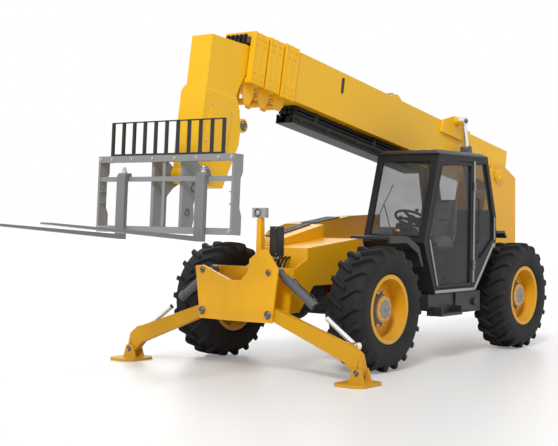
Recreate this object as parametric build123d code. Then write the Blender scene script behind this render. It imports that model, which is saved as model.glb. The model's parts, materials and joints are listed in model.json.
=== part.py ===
"""Telescopic handler: a four-wheel-steer boom truck with pallet forks and two front stabilisers.

The machine is drawn in millimetres about the middle of its rear axle: X forwards, Y to the
driver's left, Z up from the ground.  Each sub-part is then moved by the same offset, so that
the files have their origin under the middle of the whole machine.
"""
from build123d import *
import os
from math import asin, atan2, cos, degrees, hypot, pi, radians, sin

# ---------------------------------------------------------------- running clearances
FIT = 0.3                  # between curved faces that move or seat on each other
PLAY = 6.0                 # between panels and arms that swing past each other

# ---------------------------------------------------------------- the row of spans between the axles
CAB_BACK = 600.0           # of the cab's rear wall ahead of the rear axle
DOOR_POST = 580.0          # from the cab's rear wall to the door's rear edge
DOOR_LENGTH = 830.0        # of the cab's floor ahead of the door's rear edge
SCREEN_BULGE = 250.0       # of the windscreen's foot ahead of the floor
CAB_TO_AXLE = 800.0        # from the windscreen's foot to the front axle
WHEELBASE = CAB_BACK + DOOR_POST + DOOR_LENGTH + SCREEN_BULGE + CAB_TO_AXLE

# ---------------------------------------------------------------- wheels and axles
OVERALL_WIDTH = 2460.0     # across the tyres
TYRE_DIAMETER = 1290.0     # to the lugs' tips
TYRE_WIDTH = 415.0
TYRE_SIDES = 24
LUGS = 16                  # in each of the tread's two rows
LUG_HEIGHT = 45.0
LUG_BAR = 50.0             # width of a tread bar
LUG_LEAD = 78.0            # of a bar's inner end ahead of its middle
LUG_LAP = 12.0             # of a bar's inner end past the tread's middle
LUG_TRAIL = 80.0           # of a bar's shoulder end behind its middle
RIM_SEAT_RADIUS = 330.0
RIM_FLANGE_RADIUS = 355.0
RIM_WIDTH = 330.0          # between the flanges
RIM_WALL = 16.0
WHEEL_DISC_OFFSET = 40.0   # of the disc from the wheel's middle, outwards
HUB_RADIUS = 150.0
HUB_REACH = 125.0          # of the hub's cap from the wheel's middle
SPINDLE_RADIUS = 75.0
KINGPIN_Y = 720.0
KINGPIN_RADIUS = 38.0
KNUCKLE_RADIUS = 105.0
KNUCKLE_HEIGHT = 210.0
FLANGE_RADIUS = 92.0       # of the knuckle's neck behind the hub
YOKE_ARM = 42.0            # thickness of the axle's arms above and below a knuckle
AXLE_TUBE_RADIUS = 95.0
DIFFERENTIAL_RADIUS = 175.0
STEER_LIMIT = 30.0

# ---------------------------------------------------------------- chassis
CHASSIS_HALF_WIDTH = 330.0
CHASSIS_PLATE = 20.0
BELLY_Z = 560.0
AXLE_ARCH_Z = 850.0        # the side plates' lower edge over an axle
DECK_Z = 1050.0
ARCH_HALF = 230.0          # of the arch's flat top, along the frame
TAIL_BELLY_Z = 650.0
TAIL_INSET = 80.0          # of the side plates' ends ahead of the machine's rear
NOSE_FRONT_X = WHEELBASE + 240.0
NOSE_REAR_X = WHEELBASE - 710.0
NOSE_TOP_Z = 1250.0
NOSE_RISE = 90.0           # of the nose's top towards the rear
RAIL_TOP_Z = 870.0         # the rails that reach forwards to the stabiliser frame
REAR_END_X = -1690.0
WEIGHT_FRONT_X = -760.0
WEIGHT_HALF_WIDTH = 560.0
WEIGHT_BOTTOM_Z = 600.0
TAIL_LAMPS_Z = (860.0, 945.0)
HITCH_PIN_RADIUS = 16.0
HITCH_X = REAR_END_X - 50.0
HITCH_Z = 640.0            # underside of the lower jaw
HITCH_LENGTH = 120.0       # from the lower jaw's underside to the upper jaw's top
HITCH_JAW = 25.0

# ---------------------------------------------------------------- tower and boom pivot
BOOM_PIVOT_X = -1140.0
BOOM_PIVOT_Z = 2150.0
BOOM_PIN_RADIUS = 45.0
TOWER_PLATE = 25.0
TOWER_GAP = 12.0           # between the boom's side and the tower's plate
TOWER_TOP_Z = 2290.0
TOWER_REAR_TOP_Z = 2130.0
TOWER_FRONT_X = -620.0
TOWER_SILL = 20.0

# ---------------------------------------------------------------- boom, along its own length
BOOM_PITCH = 9.8           # degrees above the horizontal, as it stands
BOOM_DOWN_LIMIT = 13.3
BOOM_UP_LIMIT = 58.0
BOOM_STROKE = 3600.0       # of each telescopic section
OUTER_TAIL = -270.0
OUTER_NOSE = 4600.0
OUTER_HALF_WIDTH = 200.0
OUTER_LOW = -140.0
OUTER_HIGH = 390.0
OUTER_WALL = 14.0
TRAY_START = 1790.0
TRAY_HALF_WIDTH = 112.0
TRAY_SETBACK = 150.0       # of the tray's end behind the boom's nose
TRAY_DROP = 100.0          # of the tray's rim below the boom
TRAY_DEPTH = 100.0
TRAY_WALL = 8.0
TRAY_HOSE_Y = 78.0
TRAY_HOSE_RADIUS = 20.0
PACK_HOSES = 4             # side by side between the tray and the boom, in two layers
GUIDE_U = 2630.0           # of the hose guide on the boom's top
SIGHT_U = 3730.0           # of the long holes in the boom's sides
SIGHT_ENDS = (185.0, 305.0)
SIGHT_RADIUS = 34.0
BRACKET_HALF_WIDTH = 100.0
BRACKET_DEPTH = 120.0      # of the first hose bracket below its collar
BRACKET_STEP = 45.0        # of how much deeper each further bracket is
HANGER_LENGTH = 60.0
SECTION_START = 260.0      # where the second section's tail lies
SECTION_STEP = 110.0       # of each further tail
SECTION_WALL = 12.0
SECTION_GAP = 10.0         # between one section's wall and the next, where the wear pads run
PAD_LENGTH = 160.0
FLY_DROP = 85.0            # of the innermost section's top below its pads
COLLAR_LENGTH = 225.0
COLLAR_SPACE = 25.0        # between one collar and the next
COLLAR_PROUD = 15.0        # of the outer section's collar beyond its wall
COLLAR_GROWTH = 14.0       # of how proud each further section's collar is

# ---------------------------------------------------------------- boom head
FLY_END = OUTER_NOSE + 3 * COLLAR_LENGTH + 2 * COLLAR_SPACE + 75.0
HEAD_HALF_WIDTH = 160.0
HEAD_FRONT = 516.0         # of the head's front face beyond the innermost section
HEAD_BACK = 32.0           # of the head's back there, at its top
HEAD_SHOULDER_W = -371.0   # where the head widens
TILT_PIVOT_U = FLY_END + 423.0
TILT_PIVOT_W = -1188.0
TILT_PIN_RADIUS = 35.0
TILT_BOSS_RADIUS = 88.0

# ---------------------------------------------------------------- carriage and forks
CARRIAGE_TILT = 2.5        # degrees back, as it stands
TILT_BACK_LIMIT = 15.0
TILT_DOWN_LIMIT = 60.0
CARRIAGE_WIDTH = 1730.0
CARRIAGE_BACK_X = 310.0    # from the tilt pivot
BAR_DEPTH = 60.0
TOP_BAR_Z = 100.0
BOTTOM_BAR_Z = -575.0
BAR_HEIGHT = 62.0
MID_BAR_Z = -85.0
MID_BAR_HEIGHT = 45.0
EAR_THICKNESS = 36.0
EAR_Y = 166.0              # inner face of the carriage's ears
BACKREST_HEIGHT = 330.0
BACKREST_BARS = 11
BACKREST_BAR = 28.0
BACKREST_HALF_WIDTH = 720.0
FORK_SPREAD = 1010.0
FORK_WIDTH = 110.0
FORK_LENGTH = 1830.0
FORK_THICKNESS = 48.0
FORK_TIP = 14.0            # thickness there
FORK_RISE = 80.0           # of the blade's tip above its heel
FORK_HEEL = 60.0           # level length of the blade's top at the shank
HOOK_HEIGHT = 34.0         # of a fork's hook above the middle bar

# ---------------------------------------------------------------- lift cylinders
LIFT_Y = 330.0
LIFT_BASE_X = -400.0
LIFT_BASE_Z = 1150.0
LIFT_EYE_U = 1234.0
LIFT_EYE_W = 446.0
LIFT_BARREL_RADIUS = 68.0
LIFT_GLAND = 7.0           # of the barrels' mouths beyond their tubes
LIFT_ROD_RADIUS = 38.0
LIFT_EYE_RADIUS = 62.0
LIFT_BARREL_LENGTH = 1360.0
LIFT_PIN_RADIUS = 32.0
EYE_THICKNESS = 80.0

# ---------------------------------------------------------------- stabilisers
STAB_FRONT_X = WHEELBASE + 1020.0
STAB_DEPTH = 280.0         # over both plates
STAB_PLATE = 20.0
STAB_REAR_X = STAB_FRONT_X - STAB_DEPTH
FOLD = 34.0                # of the front plate's middle ahead of its sides
FOLD_HALF = 95.0
STAB_HALF_WIDTH = 540.0
STAB_FOOT_HALF_WIDTH = 470.0
STAB_TOP_Z = 1060.0
STAB_BOTTOM_Z = 520.0
STAB_BARREL_RADIUS = 46.0
STAB_GLAND = 4.0           # of the barrels' mouths beyond their tubes
STAB_CYLINDER_X = STAB_FRONT_X - 168.0
LEG_X = STAB_CYLINDER_X + STAB_BARREL_RADIUS + STAB_GLAND + PLAY
LEG_WIDTH = STAB_FRONT_X - STAB_PLATE - PLAY - LEG_X
LEG_PIVOT_Y = 430.0
LEG_PIVOT_Z = 600.0
LEG_ROOT = 62.0            # half the leg's depth at its pivot
FOOT_Y = 1483.0
FOOT_PIN_Z = 120.0
FOOT_X = STAB_FRONT_X - 30.0
FOOT_CORNER = 60.0
FOOT_EAR = 24.0
FOOT_LENGTH = 420.0
FOOT_WIDTH = 340.0
FOOT_PLATE = 30.0
LEG_RAISE_LIMIT = 80.0
FOOT_SWING = 20.0
STAB_CYLINDER_Y = 430.0
STAB_CYLINDER_Z = 1020.0
STAB_EYE_Y = FOOT_Y - 118.0
STAB_EYE_Z = FOOT_PIN_Z + 230.0
STAB_ROD_RADIUS = 26.0
STAB_BARREL_LENGTH = 545.0
STAB_PIN_RADIUS = 20.0
LEG_PIN_RADIUS = 30.0
FOOT_PIN_RADIUS = 22.0
STAB_EYE_RADIUS = 42.0
STAB_EYE_THICKNESS = 70.0
STAB_POST_X = STAB_FRONT_X - 140.0
STAB_POST_DEPTH = 60.0
STAB_POST_TOP_Z = 1560.0
LAMP_HEIGHT = 100.0
VALVE_TOP_Z = 1480.0
VALVE_BOTTOM_Z = 1180.0

# ---------------------------------------------------------------- cab
CAB_INNER_Y = CHASSIS_HALF_WIDTH + FIT
CAB_OUTER_Y = 1120.0
CAB_WALL = 42.0
CAB_FLOOR_Z = 740.0
CAB_SILL_Z = 800.0
CAB_WAIST_Z = 1120.0       # lower edge of the side windows
CAB_ROOF_Z = 2280.0
ROOF_THICKNESS = 52.0
ROOF_EDGE = 15.0           # height of the roof's upright edge
SCREEN_FOOT_Z = 1310.0
SCREEN_LEAN = 300.0        # of the windscreen's head behind its foot
SCREEN_BORDER = 70.0
CAB_REAR_LEAN = 230.0      # of the rear window's head ahead of its foot
CAB_REAR_Z = 1600.0
CAB_REAR_LOW_Z = 1300.0
CAB_UNDERCUT = 490.0       # of the floor's rear edge ahead of the rear wall
WINDOW_BORDER = 60.0       # of the side windows behind the door's rear edge
HEAD_BORDER = 70.0         # of the side windows below the roof
DOOR_RING = 38.0           # width of the door's frame
DOOR_HINGE_HEIGHT = 90.0
DOOR_LIMIT = 90.0
GLASS = 8.0
GUARD_CLEARANCE = 64.0     # of the mudguards above the tyres
GUARD_SHEET = 30.0
GUARD_LIP = 40.0           # depth of the front mudguard's outer lip
REAR_GUARD_LENGTH = 250.0
SEAT_Y = 700.0
SEAT_HALF_WIDTH = 245.0
SEAT_TOP_Z = 1365.0
CONSOLE_WIDTH = 70.0
STEERING_RADIUS = 185.0
STEP_Z = 500.0             # underside of the step below the door
CAB_REAR_X = CAB_BACK
CAB_REAR_TOP_X = CAB_REAR_X + CAB_REAR_LEAN
CAB_REAR_FLOOR_X = CAB_REAR_X + CAB_UNDERCUT
DOOR_REAR_X = CAB_REAR_X + DOOR_POST
CAB_FRONT_LOW_X = DOOR_REAR_X + DOOR_LENGTH
SCREEN_FOOT_X = CAB_FRONT_LOW_X + SCREEN_BULGE
SCREEN_HEAD_X = SCREEN_FOOT_X - SCREEN_LEAN

# ---------------------------------------------------------------- engine pod
POD_REAR_X = 840.0
POD_FRONT_X = WHEELBASE - 830.0
POD_OUTER_Y = -1100.0
POD_INNER_Y = -CHASSIS_HALF_WIDTH - 22.0
POD_BOTTOM_Z = 640.0
POD_WALL = 25.0
POD_RIM_Z = 1180.0         # where the bonnet sits on the pod
BONNET_WALL = 22.0
BONNET_LIMIT = 45.0
BONNET_REAR_Z = 1610.0
BONNET_CREASE_Z = 1590.0
BONNET_CREASE = 660.0      # of the crease in the bonnet's top ahead of its rear
BONNET_FRONT_Z = 1490.0
BONNET_OUTER_Z = 1330.0    # top of the bonnet's outer wall
BONNET_SHOULDER_Z = 1400.0
BONNET_SHOULDER = 60.0     # width of the shoulders along both sides
COWL_OUTER_Y = -450.0
COWL_INNER_Y = -140.0
COWL_TOP_Z = 1490.0
GRILLE_HEIGHT = 16.0
BONNET_SLATS = 10
NOSE_SLATS = 12
POD_LOUVRES = 7            # in each of the pod's two outer panels
ENGINE_TOP_Z = 1330.0
ENGINE_BOTTOM_Z = 720.0

# ---------------------------------------------------------------- derived sizes
LEAD_TURN = degrees(asin(2 * LUG_LEAD / TYRE_DIAMETER))
TRAIL_TURN = 360 / LUGS - degrees(asin(2 * LUG_TRAIL / TYRE_DIAMETER))
GROUND_FROM = (LEAD_TURN + TRAIL_TURN) / 2     # of the middle between two bars, on which a tyre stands
AXLE_Z = TYRE_DIAMETER / 2 * cos(radians(TRAIL_TURN - LEAD_TURN) / 2)
WHEEL_Y = (OVERALL_WIDTH - TYRE_WIDTH) / 2
BOOM_AT = Location((BOOM_PIVOT_X, 0, BOOM_PIVOT_Z), (0, -BOOM_PITCH, 0))
AXLES = (                  # name, x
    ("rear", 0.0),
    ("front", WHEELBASE),
)
SIDES = (                  # name, sign of y
    ("left", 1),
    ("right", -1),
)


def boom_point(u, w):
    """Ground-frame (x, z) of a point u along the boom and w above its pivot."""
    a = radians(BOOM_PITCH)
    return (BOOM_PIVOT_X + u * cos(a) - w * sin(a), BOOM_PIVOT_Z + u * sin(a) + w * cos(a))


TILT_X, TILT_Z = boom_point(TILT_PIVOT_U, TILT_PIVOT_W)
CARRIAGE_AT = Location((TILT_X, 0, TILT_Z), (0, -CARRIAGE_TILT, 0))
LIFT_EYE_X, LIFT_EYE_Z = boom_point(LIFT_EYE_U, LIFT_EYE_W)


# ---------------------------------------------------------------- shape helpers
def block(x0, x1, y0, y1, z0, z1):
    """A box between two corners."""
    return Pos((x0 + x1) / 2, (y0 + y1) / 2, (z0 + z1) / 2) * Box(x1 - x0, y1 - y0, z1 - z0)


def slab(across, low, high, points):
    """A plate with a straight-sided outline, between two planes square to one axis."""
    corner = {
        "x": lambda a, b: (low, a, b),
        "y": lambda a, b: (a, low, b),
        "z": lambda a, b: (a, b, low),
    }[across]
    along = {"x": (1, 0, 0), "y": (0, 1, 0), "z": (0, 0, 1)}[across]
    outline = Polyline(*[corner(a, b) for a, b in points], close=True)
    return extrude(make_face(outline), amount=high - low, dir=along)


def rod(start, end, radius):
    """A round bar from one point to another."""
    path = Vector(*end) - Vector(*start)
    return Plane(origin=start, z_dir=path) * Cylinder(
        radius, path.length, align=(Align.CENTER, Align.CENTER, Align.MIN))


def cross_rod(x, y0, y1, z, radius):
    """A round bar along Y."""
    return rod((x, y0, z), (x, y1, z), radius)


def long_rod(x0, x1, y, z, radius):
    """A round bar along X."""
    return rod((x0, y, z), (x1, y, z), radius)


def ring_slab(across, low, high, outline, width):
    """A frame of constant width inside a straight-sided outline."""
    whole = slab(across, low, high, outline)
    return whole - slab(across, low - 1, high + 1, inset(outline, width))


def inset(points, distance):
    """The outline moved inwards by one distance on every side (corners in either order)."""
    area = sum(a[0] * b[1] - b[0] * a[1] for a, b in zip(points, points[1:] + points[:1]))
    turn = 1 if area > 0 else -1
    moved = []
    for before, here, after in zip(points[-1:] + points[:-1], points, points[1:] + points[:1]):
        d0 = Vector(here[0] - before[0], here[1] - before[1]).normalized()
        d1 = Vector(after[0] - here[0], after[1] - here[1]).normalized()
        n0 = Vector(-d0.Y, d0.X) * turn
        n1 = Vector(-d1.Y, d1.X) * turn
        mitre = (n0 + n1) * (distance / (1 + n0.dot(n1)))
        moved.append((here[0] + mitre.X, here[1] + mitre.Y))
    return moved


def fuse(*shapes):
    """All the shapes joined into one."""
    return Part() + list(shapes)


def group(*shapes):
    """Separate solids that share one sub-part."""
    return Compound([solid for shape in shapes for solid in shape.solids()])


def mirrored(shape):
    """The same piece on the machine's other side."""
    return mirror(shape, about=Plane.XZ)


def on_side(shape, side):
    """A piece drawn on the left, on the side asked for."""
    return shape if side > 0 else mirrored(shape)


NODES = {}


# ---------------------------------------------------------------- wheels
def polygon_at(y, radius):
    """A regular outline about the wheel's axle, with a corner at its top."""
    turns = [2 * pi * i / TYRE_SIDES for i in range(TYRE_SIDES)]
    return make_face(Polyline(*[(radius * sin(a), y, radius * cos(a)) for a in turns], close=True))


def drum(*sections):
    """A many-sided solid about Y, through outlines given as (y, radius)."""
    return loft([polygon_at(y, radius) for y, radius in sections], ruled=True)


def tread_height(x):
    """How high the tyre's outside lies at a distance from its top."""
    return (TYRE_DIAMETER ** 2 / 4 - x ** 2) ** 0.5


def lug():
    """One tread bar at the tyre's top, from the middle of the tread to the side wall."""
    tip, half = TYRE_DIAMETER / 2, TYRE_WIDTH / 2
    sections = (             # y, the bar's edges along x, its foot and its top
        (-LUG_LAP, LUG_LEAD - LUG_BAR, LUG_LEAD, tip - 65, tread_height(LUG_LEAD)),
        (half - 30.5, -LUG_TRAIL, LUG_BAR + 16 - LUG_TRAIL, tip - 85, tread_height(LUG_TRAIL)),
        (half - 4.5, -LUG_TRAIL - 6, LUG_BAR + 12 - LUG_TRAIL, tip - 145, tip - 85),
    )
    faces = [make_face(Polyline((x0, y, z0), (x1, y, z0), (x1, y, z1), (x0, y, z1), close=True))
             for y, x0, x1, z0, z1 in sections]
    return loft(faces, ruled=True)


def left_tyre():
    """A tyre about the origin: its carcass, and slanted bars in two staggered rows."""
    half = TYRE_WIDTH / 2
    tread = TYRE_DIAMETER / 2 - LUG_HEIGHT
    bead = RIM_WIDTH / 2 - FIT
    flat = cos(pi / TYRE_SIDES)
    carcass = drum((-half, tread - 105), (-half + 26, tread), (half - 26, tread), (half, tread - 105))
    bore = (RIM_SEAT_RADIUS + FIT) / flat
    lip = (RIM_FLANGE_RADIUS + 2) / flat
    carcass -= drum((-half - 1, bore), (half + 1, bore))
    for s in (-1, 1):
        carcass -= drum((s * bead, lip), (s * (half + 1), tread - 110))
    pitch = 360 / LUGS
    bar = lug()
    rows = [Rot(0, i * pitch, 0) * bar for i in range(LUGS)]
    rows += [Rot(0, (i + 0.5) * pitch, 0) * mirrored(bar) for i in range(LUGS)]
    return Rot(0, -GROUND_FROM, 0) * fuse(carcass, *rows)


TYRE_SHAPE = left_tyre()


def tyre(x, side):
    """A tyre in its place, its bars slanting the way that the machine drives."""
    return Pos(x, side * WHEEL_Y, AXLE_Z) * on_side(TYRE_SHAPE, side)


def turned(profile):
    """A round body about Y from an outline of (radius, y) points."""
    face = make_face(Polyline(*[(r, y, 0) for r, y in profile], close=True))
    return revolve(face, axis=Axis.Y)


def rim(x, side):
    """A dished steel rim with the hub's drum in its middle."""
    seat = RIM_SEAT_RADIUS
    half = RIM_WIDTH / 2
    disc = WHEEL_DISC_OFFSET
    barrel = turned([
        (seat - RIM_WALL, -half - RIM_WALL), (RIM_FLANGE_RADIUS, -half - RIM_WALL),
        (RIM_FLANGE_RADIUS, -half), (seat, -half), (seat, half),
        (RIM_FLANGE_RADIUS, half), (RIM_FLANGE_RADIUS, half + RIM_WALL),
        (seat - RIM_WALL, half + RIM_WALL),
    ])
    bore = SPINDLE_RADIUS + FIT
    centre = turned([
        (bore, disc - RIM_WALL - 30), (HUB_RADIUS, disc - RIM_WALL - 30),
        (HUB_RADIUS + 30, disc - RIM_WALL), (seat - RIM_WALL - 20, disc - RIM_WALL - 40),
        (seat - RIM_WALL, disc - RIM_WALL - 40), (seat - RIM_WALL, disc - 30),
        (HUB_RADIUS + 50, disc), (HUB_RADIUS, disc), (HUB_RADIUS - 10, HUB_REACH - 15),
        (HUB_RADIUS - 35, HUB_REACH), (0, HUB_REACH), (0, disc + 35 + FIT), (bore, disc + 35 + FIT),
    ])
    whole = barrel + centre
    return Pos(x, side * WHEEL_Y, AXLE_Z) * on_side(whole, side)


def knuckle(x, side):
    """The steering knuckle: kingpins above and below, and the spindle that the hub turns on."""
    half = KNUCKLE_HEIGHT / 2
    body = rod((x, KINGPIN_Y, AXLE_Z - half), (x, KINGPIN_Y, AXLE_Z + half), KNUCKLE_RADIUS)
    pins = rod((x, KINGPIN_Y, AXLE_Z - half - YOKE_ARM), (x, KINGPIN_Y, AXLE_Z + half + YOKE_ARM),
               KINGPIN_RADIUS)
    flange_end = WHEEL_Y + WHEEL_DISC_OFFSET - RIM_WALL - 30 - FIT
    flange = cross_rod(x, KINGPIN_Y, flange_end, AXLE_Z, FLANGE_RADIUS)
    spindle = cross_rod(x, KINGPIN_Y, WHEEL_Y + WHEEL_DISC_OFFSET + 35, AXLE_Z, SPINDLE_RADIUS)
    return on_side(fuse(body, pins, flange, spindle), side)


def axle(x):
    """A drive axle's housing with a yoke at each end."""
    half = KNUCKLE_HEIGHT / 2 + FIT
    reach = KNUCKLE_RADIUS + PLAY
    yoke_back = KINGPIN_Y - reach - 60
    tube = cross_rod(x, -yoke_back, yoke_back, AXLE_Z, AXLE_TUBE_RADIUS)
    ball = Pos(x, 0, AXLE_Z) * Sphere(DIFFERENTIAL_RADIUS)
    pad_height = AXLE_ARCH_Z - AXLE_Z
    pads = [block(x - 110, x + 110, s * 240 - 70, s * 240 + 70, AXLE_Z, AXLE_Z + pad_height)
            for _, s in SIDES]
    parts = [tube, ball, *pads]
    for _, s in SIDES:
        parts.append(block(x - 75, x + 75, *sorted((s * (yoke_back - 40), s * (KINGPIN_Y - reach))),
                           AXLE_Z - half - YOKE_ARM, AXLE_Z + half + YOKE_ARM))
        for low in (AXLE_Z - half - YOKE_ARM, AXLE_Z + half):
            arm = block(x - 75, x + 75, *sorted((s * (KINGPIN_Y - reach - 10), s * KINGPIN_Y)),
                        low, low + YOKE_ARM)
            boss = rod((x, s * KINGPIN_Y, low), (x, s * KINGPIN_Y, low + YOKE_ARM), 75)
            parts += [arm, boss]
    whole = fuse(*parts)
    for _, s in SIDES:
        whole -= rod((x, s * KINGPIN_Y, AXLE_Z - 300), (x, s * KINGPIN_Y, AXLE_Z + 300),
                     KINGPIN_RADIUS + FIT / 3)
    return whole


for axle_name, axle_x in AXLES:
    NODES[f"{axle_name}_axle"] = axle(axle_x)
    for side_name, side in SIDES:
        place = f"{axle_name}_{side_name}"
        NODES[f"tyre_{place}"] = tyre(axle_x, side)
        NODES[f"rim_{place}"] = rim(axle_x, side)
        NODES[f"knuckle_{place}"] = knuckle(axle_x, side)


# ---------------------------------------------------------------- chassis
def chassis():
    """Two side plates that arch over the axles, with the belly, deck, nose and front rails."""
    arch = ARCH_HALF
    slope = AXLE_ARCH_Z - BELLY_Z
    front = WHEELBASE
    side_outline = [
        (REAR_END_X + TAIL_INSET, TAIL_BELLY_Z), (-arch - slope, TAIL_BELLY_Z),
        (-arch, AXLE_ARCH_Z), (arch, AXLE_ARCH_Z),
        (arch + slope, BELLY_Z), (front - arch - slope, BELLY_Z), (front - arch, AXLE_ARCH_Z),
        (NOSE_FRONT_X, AXLE_ARCH_Z), (NOSE_FRONT_X, NOSE_TOP_Z),
        (NOSE_REAR_X, NOSE_TOP_Z + NOSE_RISE), (NOSE_REAR_X - 60, DECK_Z),
        (REAR_END_X + TAIL_INSET, DECK_Z),
    ]
    half = CHASSIS_HALF_WIDTH
    inner = half - CHASSIS_PLATE
    parts = []
    for _, s in SIDES:
        low, high = sorted((s * inner, s * half))
        parts.append(slab("y", low, high, side_outline))
        rail = [
            (NOSE_FRONT_X - 120, AXLE_ARCH_Z), (NOSE_FRONT_X + 130, BELLY_Z + 20),
            (STAB_REAR_X, BELLY_Z + 20), (STAB_REAR_X, RAIL_TOP_Z + 60),
            (NOSE_FRONT_X - 120, RAIL_TOP_Z + 110),
        ]
        parts.append(slab("y", low, high, rail))
        arm = [
            (NOSE_FRONT_X - 60, NOSE_TOP_Z - 90), (STAB_REAR_X, RAIL_TOP_Z + 50),
            (STAB_REAR_X, RAIL_TOP_Z - 60), (NOSE_FRONT_X - 60, RAIL_TOP_Z),
        ]
        parts.append(slab("y", low, high, arm))
    plates = (              # x0, x1, z0, z1 of each plate across the frame
        (arch + slope, front - arch - slope, BELLY_Z, BELLY_Z + CHASSIS_PLATE),
        (REAR_END_X + TAIL_INSET, NOSE_REAR_X - 60, DECK_Z - CHASSIS_PLATE, DECK_Z),
        (-arch, arch, AXLE_ARCH_Z, AXLE_ARCH_Z + CHASSIS_PLATE),
        (front - arch, NOSE_FRONT_X, AXLE_ARCH_Z, AXLE_ARCH_Z + CHASSIS_PLATE),
        (NOSE_FRONT_X - CHASSIS_PLATE, NOSE_FRONT_X, AXLE_ARCH_Z, NOSE_TOP_Z),
        (NOSE_FRONT_X + 130, STAB_REAR_X, BELLY_Z + 20, BELLY_Z + 20 + CHASSIS_PLATE),
        (REAR_END_X + TAIL_INSET, REAR_END_X + TAIL_INSET + CHASSIS_PLATE, TAIL_BELLY_Z, DECK_Z),
    )
    for x0, x1, z0, z1 in plates:
        parts.append(block(x0, x1, -inner, inner, z0, z1))
    top = [
        (NOSE_FRONT_X, NOSE_TOP_Z), (NOSE_REAR_X, NOSE_TOP_Z + NOSE_RISE),
        (NOSE_REAR_X, NOSE_TOP_Z + NOSE_RISE - CHASSIS_PLATE),
        (NOSE_FRONT_X, NOSE_TOP_Z - CHASSIS_PLATE),
    ]
    parts.append(slab("y", -inner, inner, top))
    foot_y = LIFT_Y - EYE_THICKNESS / 2 - 30
    lift_feet = [block(LIFT_BASE_X - 90, LIFT_BASE_X + 90, *sorted((s * foot_y, s * inner)),
                       DECK_Z - 60, DECK_Z) for _, s in SIDES]
    return fuse(*parts, *lift_feet)


NODES["chassis_frame"] = chassis()


def tower():
    """The rear tower: two plates that carry the boom's pin, a rear wall and the lift cylinders' ears."""
    inner = OUTER_HALF_WIDTH + TOWER_GAP
    outer = inner + TOWER_PLATE
    outline = [
        (REAR_END_X, DECK_Z), (TOWER_FRONT_X, DECK_Z), (TOWER_FRONT_X - 140, DECK_Z + 550),
        (BOOM_PIVOT_X + 190, TOWER_TOP_Z - 60),
        (BOOM_PIVOT_X + 110, TOWER_TOP_Z), (BOOM_PIVOT_X - 160, TOWER_TOP_Z),
        (REAR_END_X + 30, TOWER_REAR_TOP_Z),
    ]
    parts = []
    for _, s in SIDES:
        parts.append(slab("y", *sorted((s * inner, s * outer)), outline))
        parts.append(cross_rod(BOOM_PIVOT_X, s * inner, s * (outer + 20), BOOM_PIVOT_Z, 105))
        for face in (LIFT_Y - EYE_THICKNESS / 2 - 1, LIFT_Y + EYE_THICKNESS / 2 + 1):
            direction = -1 if face < LIFT_Y else 1
            ear = slab("y", *sorted((s * face, s * (face + direction * 22))), [
                (LIFT_BASE_X - 85, DECK_Z), (LIFT_BASE_X + 85, DECK_Z),
                (LIFT_BASE_X + 60, LIFT_BASE_Z + 40), (LIFT_BASE_X + 25, LIFT_BASE_Z + 65),
                (LIFT_BASE_X - 25, LIFT_BASE_Z + 65), (LIFT_BASE_X - 60, LIFT_BASE_Z + 40)])
            parts.append(ear)
        parts.append(cross_rod(LIFT_BASE_X, s * (LIFT_Y - EYE_THICKNESS / 2 - 30),
                               s * (LIFT_Y + EYE_THICKNESS / 2 + 30), LIFT_BASE_Z, LIFT_PIN_RADIUS))
        sill_y = LIFT_Y + EYE_THICKNESS / 2 + 23
        parts.append(block(TOWER_FRONT_X - 80, LIFT_BASE_X + 85, *sorted((s * inner, s * sill_y)),
                           DECK_Z, DECK_Z + TOWER_SILL))
    parts.append(block(REAR_END_X, REAR_END_X + TOWER_PLATE, -inner, inner, DECK_Z, TOWER_REAR_TOP_Z - 260))
    parts.append(block(REAR_END_X, TOWER_FRONT_X, -inner, inner, DECK_Z, DECK_Z + TOWER_SILL))
    parts.append(cross_rod(BOOM_PIVOT_X, -inner, inner, BOOM_PIVOT_Z, BOOM_PIN_RADIUS))
    return fuse(*parts)


NODES["boom_tower"] = tower()


def counterweight():
    """The cast weight behind the rear axle, round the frame's tail, with the tow hitch's jaws."""
    rear, front, half = REAR_END_X, WEIGHT_FRONT_X, WEIGHT_HALF_WIDTH
    cheeks = [block(rear, front, *sorted((s * CHASSIS_HALF_WIDTH, s * half)), WEIGHT_BOTTOM_Z, DECK_Z)
              for _, s in SIDES]
    back = block(rear, rear + 80, -half, half, WEIGHT_BOTTOM_Z, DECK_Z)
    lamps = [block(rear - 28, rear + 1, *sorted((s * (half - 200), s * (half - 20))), z, z + 75)
             for _, s in SIDES for z in TAIL_LAMPS_Z]
    jaws = [block(HITCH_X - 45, rear, -50, 50, z, z + HITCH_JAW)
            for z in (HITCH_Z, HITCH_Z + HITCH_LENGTH - HITCH_JAW)]
    hole = rod((HITCH_X, 0, HITCH_Z - 1), (HITCH_X, 0, HITCH_Z + HITCH_LENGTH + 1), HITCH_PIN_RADIUS)
    return fuse(*cheeks, back, *lamps, *jaws) - hole


NODES["counterweight"] = counterweight()


# ---------------------------------------------------------------- boom
def shrink_of(index):
    """How far a section's outside lies within the outer section's, on each side."""
    return OUTER_WALL + SECTION_GAP + (index - 1) * (SECTION_WALL + SECTION_GAP)


def tail_pads(start, half, low, high):
    """The wear pads round a section's tail, which run inside the section before it."""
    reach = SECTION_GAP - FIT
    return block(start, start + PAD_LENGTH, -half - reach, half + reach, low - reach, high + reach)


def section(start, nose, half, low, high, wall, proud):
    """One hollow boom section with a wear-pad collar round its nose, and its clear inside."""
    tube = block(start, nose, -half, half, low, high)
    collar = block(nose, nose + COLLAR_LENGTH, -half - proud, half + proud, low - proud, high + proud)
    inside = block(start - 1, nose + COLLAR_LENGTH + 1, -half + wall, half - wall, low + wall, high - wall)
    return tube + collar - inside


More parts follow.
